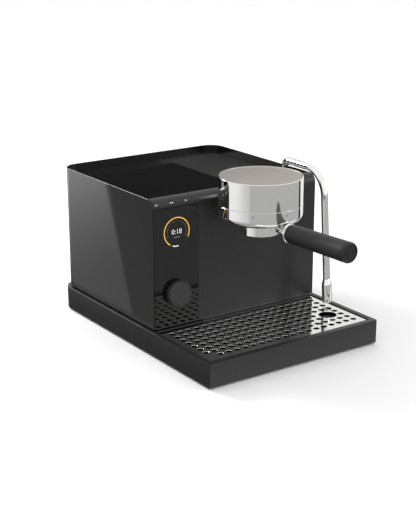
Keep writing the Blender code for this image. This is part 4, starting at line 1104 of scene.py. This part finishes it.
nut_low, nut_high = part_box("wand_socket")
nut_middle = (nut_low + nut_high) / 2
nut_radius = (nut_high.x - nut_low.x) / 2
nut = turned("wand_nut", (nut_middle.x, nut_middle.y, 0),
             [(nut_radius, nut_low.z), (nut_radius, nut_high.z - 0.0014),
              (nut_radius - 0.0014, nut_high.z), (0.0071, nut_high.z),
              (0.0065, nut_high.z - 0.0006), (0.0065, nut_low.z)], 96, ring=True)
break_edges(nut, 0.0002)
finish_piece(nut, chrome, "machine", "wand_socket")


# ---- Rear: mains inlet and screws -------------------------------------------------------
# A moulded three-pin inlet with flat plated pins, and pan-head steel screws with a cross
# recess that hold the casing to the base.

finish_piece(refined("power_inlet", "inlet_moulding", 0.0004), moulded_abs, "machine",
             "power_inlet")
# Zinc plate on steel: a bluish grey, dull and bright by turns in spangles 4 mm wide.
zinc, tree, shader = new_finish("zinc_plated_steel", "#8f9092", 0.38, 1.0)
place = add_node(tree, "ShaderNodeTexCoord", {}, {})
spangle = add_node(tree, "ShaderNodeTexVoronoi", {}, {"Vector": place.outputs["Object"],
                                                      "Scale": 260.0})
tone = add_node(tree, "ShaderNodeMix", {"data_type": 'RGBA'},
                {0: spangle.outputs["Distance"], 6: linear("#85868a"), 7: linear("#a0a1a3")})
gloss = add_node(tree, "ShaderNodeMapRange", {}, {"Value": spangle.outputs["Distance"],
                                                  "To Min": 0.32, "To Max": 0.46})
tree.links.new(tone.outputs[2], shader.inputs["Base Color"])
tree.links.new(gloss.outputs["Result"], shader.inputs["Roughness"])

PIN_BACK, PIN_END = 0.2623, 0.2740              # the pins' two ends along Y
socket_middle = (inlet_low + inlet_high) / 2
for i, (dx, dz) in enumerate(((-0.0065, -0.0015), (0.0, 0.0020), (0.0065, -0.0015))):
    pin = block("inlet_pin_%d" % (i + 1),
                (socket_middle.x + dx - 0.0010, PIN_BACK, socket_middle.z + dz - 0.0020),
                (socket_middle.x + dx + 0.0010, PIN_END, socket_middle.z + dz + 0.0020))
    break_edges(pin, 0.0004)
    finish_piece(pin, zinc, "machine")

for node in ("casing_screw_left", "casing_screw_right"):
    screw_low, screw_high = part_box(node)
    middle = (screw_low + screw_high) / 2
    screw = turned(node + "_head", (0, 0, 0),
                   [(0.0035, 0.0), (0.0035, 0.0005), (0.0031, 0.0011), (0.0022, 0.0015),
                    (0.0008, 0.0016)], 48)
    cut(screw, block("cross", (-0.0019, -0.0003, 0.0008), (0.0019, 0.0003, 0.003)),
        block("cross", (-0.0003, -0.0019, 0.0008), (0.0003, 0.0019, 0.003)))
    aim(screw, Vector((middle.x, screw_low.y, middle.z)), Vector((0, 1, 0)))
    smooth(screw, 30)
    finish_piece(screw, zinc, "machine", node)


# ---- Works inside -----------------------------------------------------------------------
# What shows when the tank is lifted out or from below: plated steelwork, brass fittings, a
# clear tank, silicone hoses and green boards.

# Clear copolyester: cool and see-through, its wall a little wavy every 40 mm.
clear_tank, tree, shader = new_finish("clear_copolyester", "#cfd8dc", 0.12, IOR=1.57)
shader.inputs["Transmission Weight"].default_value = 0.85
place = add_node(tree, "ShaderNodeTexCoord", {}, {})
wave = add_node(tree, "ShaderNodeTexNoise", {}, {"Vector": place.outputs["Object"],
                                                 "Scale": 25.0, "Detail": 2.0})
gloss = add_node(tree, "ShaderNodeMapRange", {}, {"Value": wave.outputs["Fac"],
                                                  "To Min": 0.08, "To Max": 0.16})
tree.links.new(gloss.outputs["Result"], shader.inputs["Roughness"])

# Machined brass: warm yellow, with tool marks 1.3 mm apart.
brass, tree, shader = new_finish("machined_brass", "#b08a4a", 0.3, 1.0)
place = add_node(tree, "ShaderNodeTexCoord", {}, {})
tool_marks = add_node(tree, "ShaderNodeTexNoise", {}, {"Vector": place.outputs["Object"],
                                                       "Scale": 800.0, "Detail": 2.0})
gloss = add_node(tree, "ShaderNodeMapRange", {}, {"Value": tool_marks.outputs["Fac"],
                                                  "To Min": 0.24, "To Max": 0.4})
tree.links.new(gloss.outputs["Result"], shader.inputs["Roughness"])

# Circuit board: dark green under its lacquer, with paler tracks every 3 mm.
board, tree, shader = new_finish("green_circuit_board", "#14402a", 0.45)
place = add_node(tree, "ShaderNodeTexCoord", {}, {})
tracks = add_node(tree, "ShaderNodeTexBrick", {}, {
    "Vector": place.outputs["Object"], "Scale": 160.0, "Color1": linear("#123a26"),
    "Color2": linear("#1a4d32"), "Mortar": linear("#2c6a47"), "Mortar Size": 0.06})
tree.links.new(tracks.outputs["Color"], shader.inputs["Base Color"])

# Silicone rubber hose: milky white and soft, with dust in patches 5 mm wide.
silicone, tree, shader = new_finish("white_silicone_hose", "#cfcfca", 0.5)
place = add_node(tree, "ShaderNodeTexCoord", {}, {})
dust = add_node(tree, "ShaderNodeTexNoise", {}, {"Vector": place.outputs["Object"],
                                                 "Scale": 200.0, "Detail": 3.0})
tone = add_node(tree, "ShaderNodeMix", {"data_type": 'RGBA'},
                {0: dust.outputs["Fac"], 6: linear("#c4c4be"), 7: linear("#d8d8d3")})
tree.links.new(tone.outputs[2], shader.inputs["Base Color"])

works = {
    zinc: ("base_plate", "knob_shaft", "knob_encoder", "pump", "steam_heater", "chassis_plate",
           "screen_screw"),
    stainless: ("boiler", "filter_basket", "shower_screen"),
    brass: ("group_body", "group_neck", "solenoid_valve"),
    board: ("key_board", "main_board", "power_board"),
    silicone: ("tank_hose", "feed_hose", "steam_hose"),
    rubber: ("casing_seal", "group_gasket", "pump_bracket"),
    clear_tank: ("water_tank",),
    moulded_abs: ("control_frame", "tank_seat", "tank_valve"),
    black_glass: ("display_module",),
}
for material, nodes in works.items():
    for node in nodes:
        frame["nodes"][node].material_slots[0].material = material
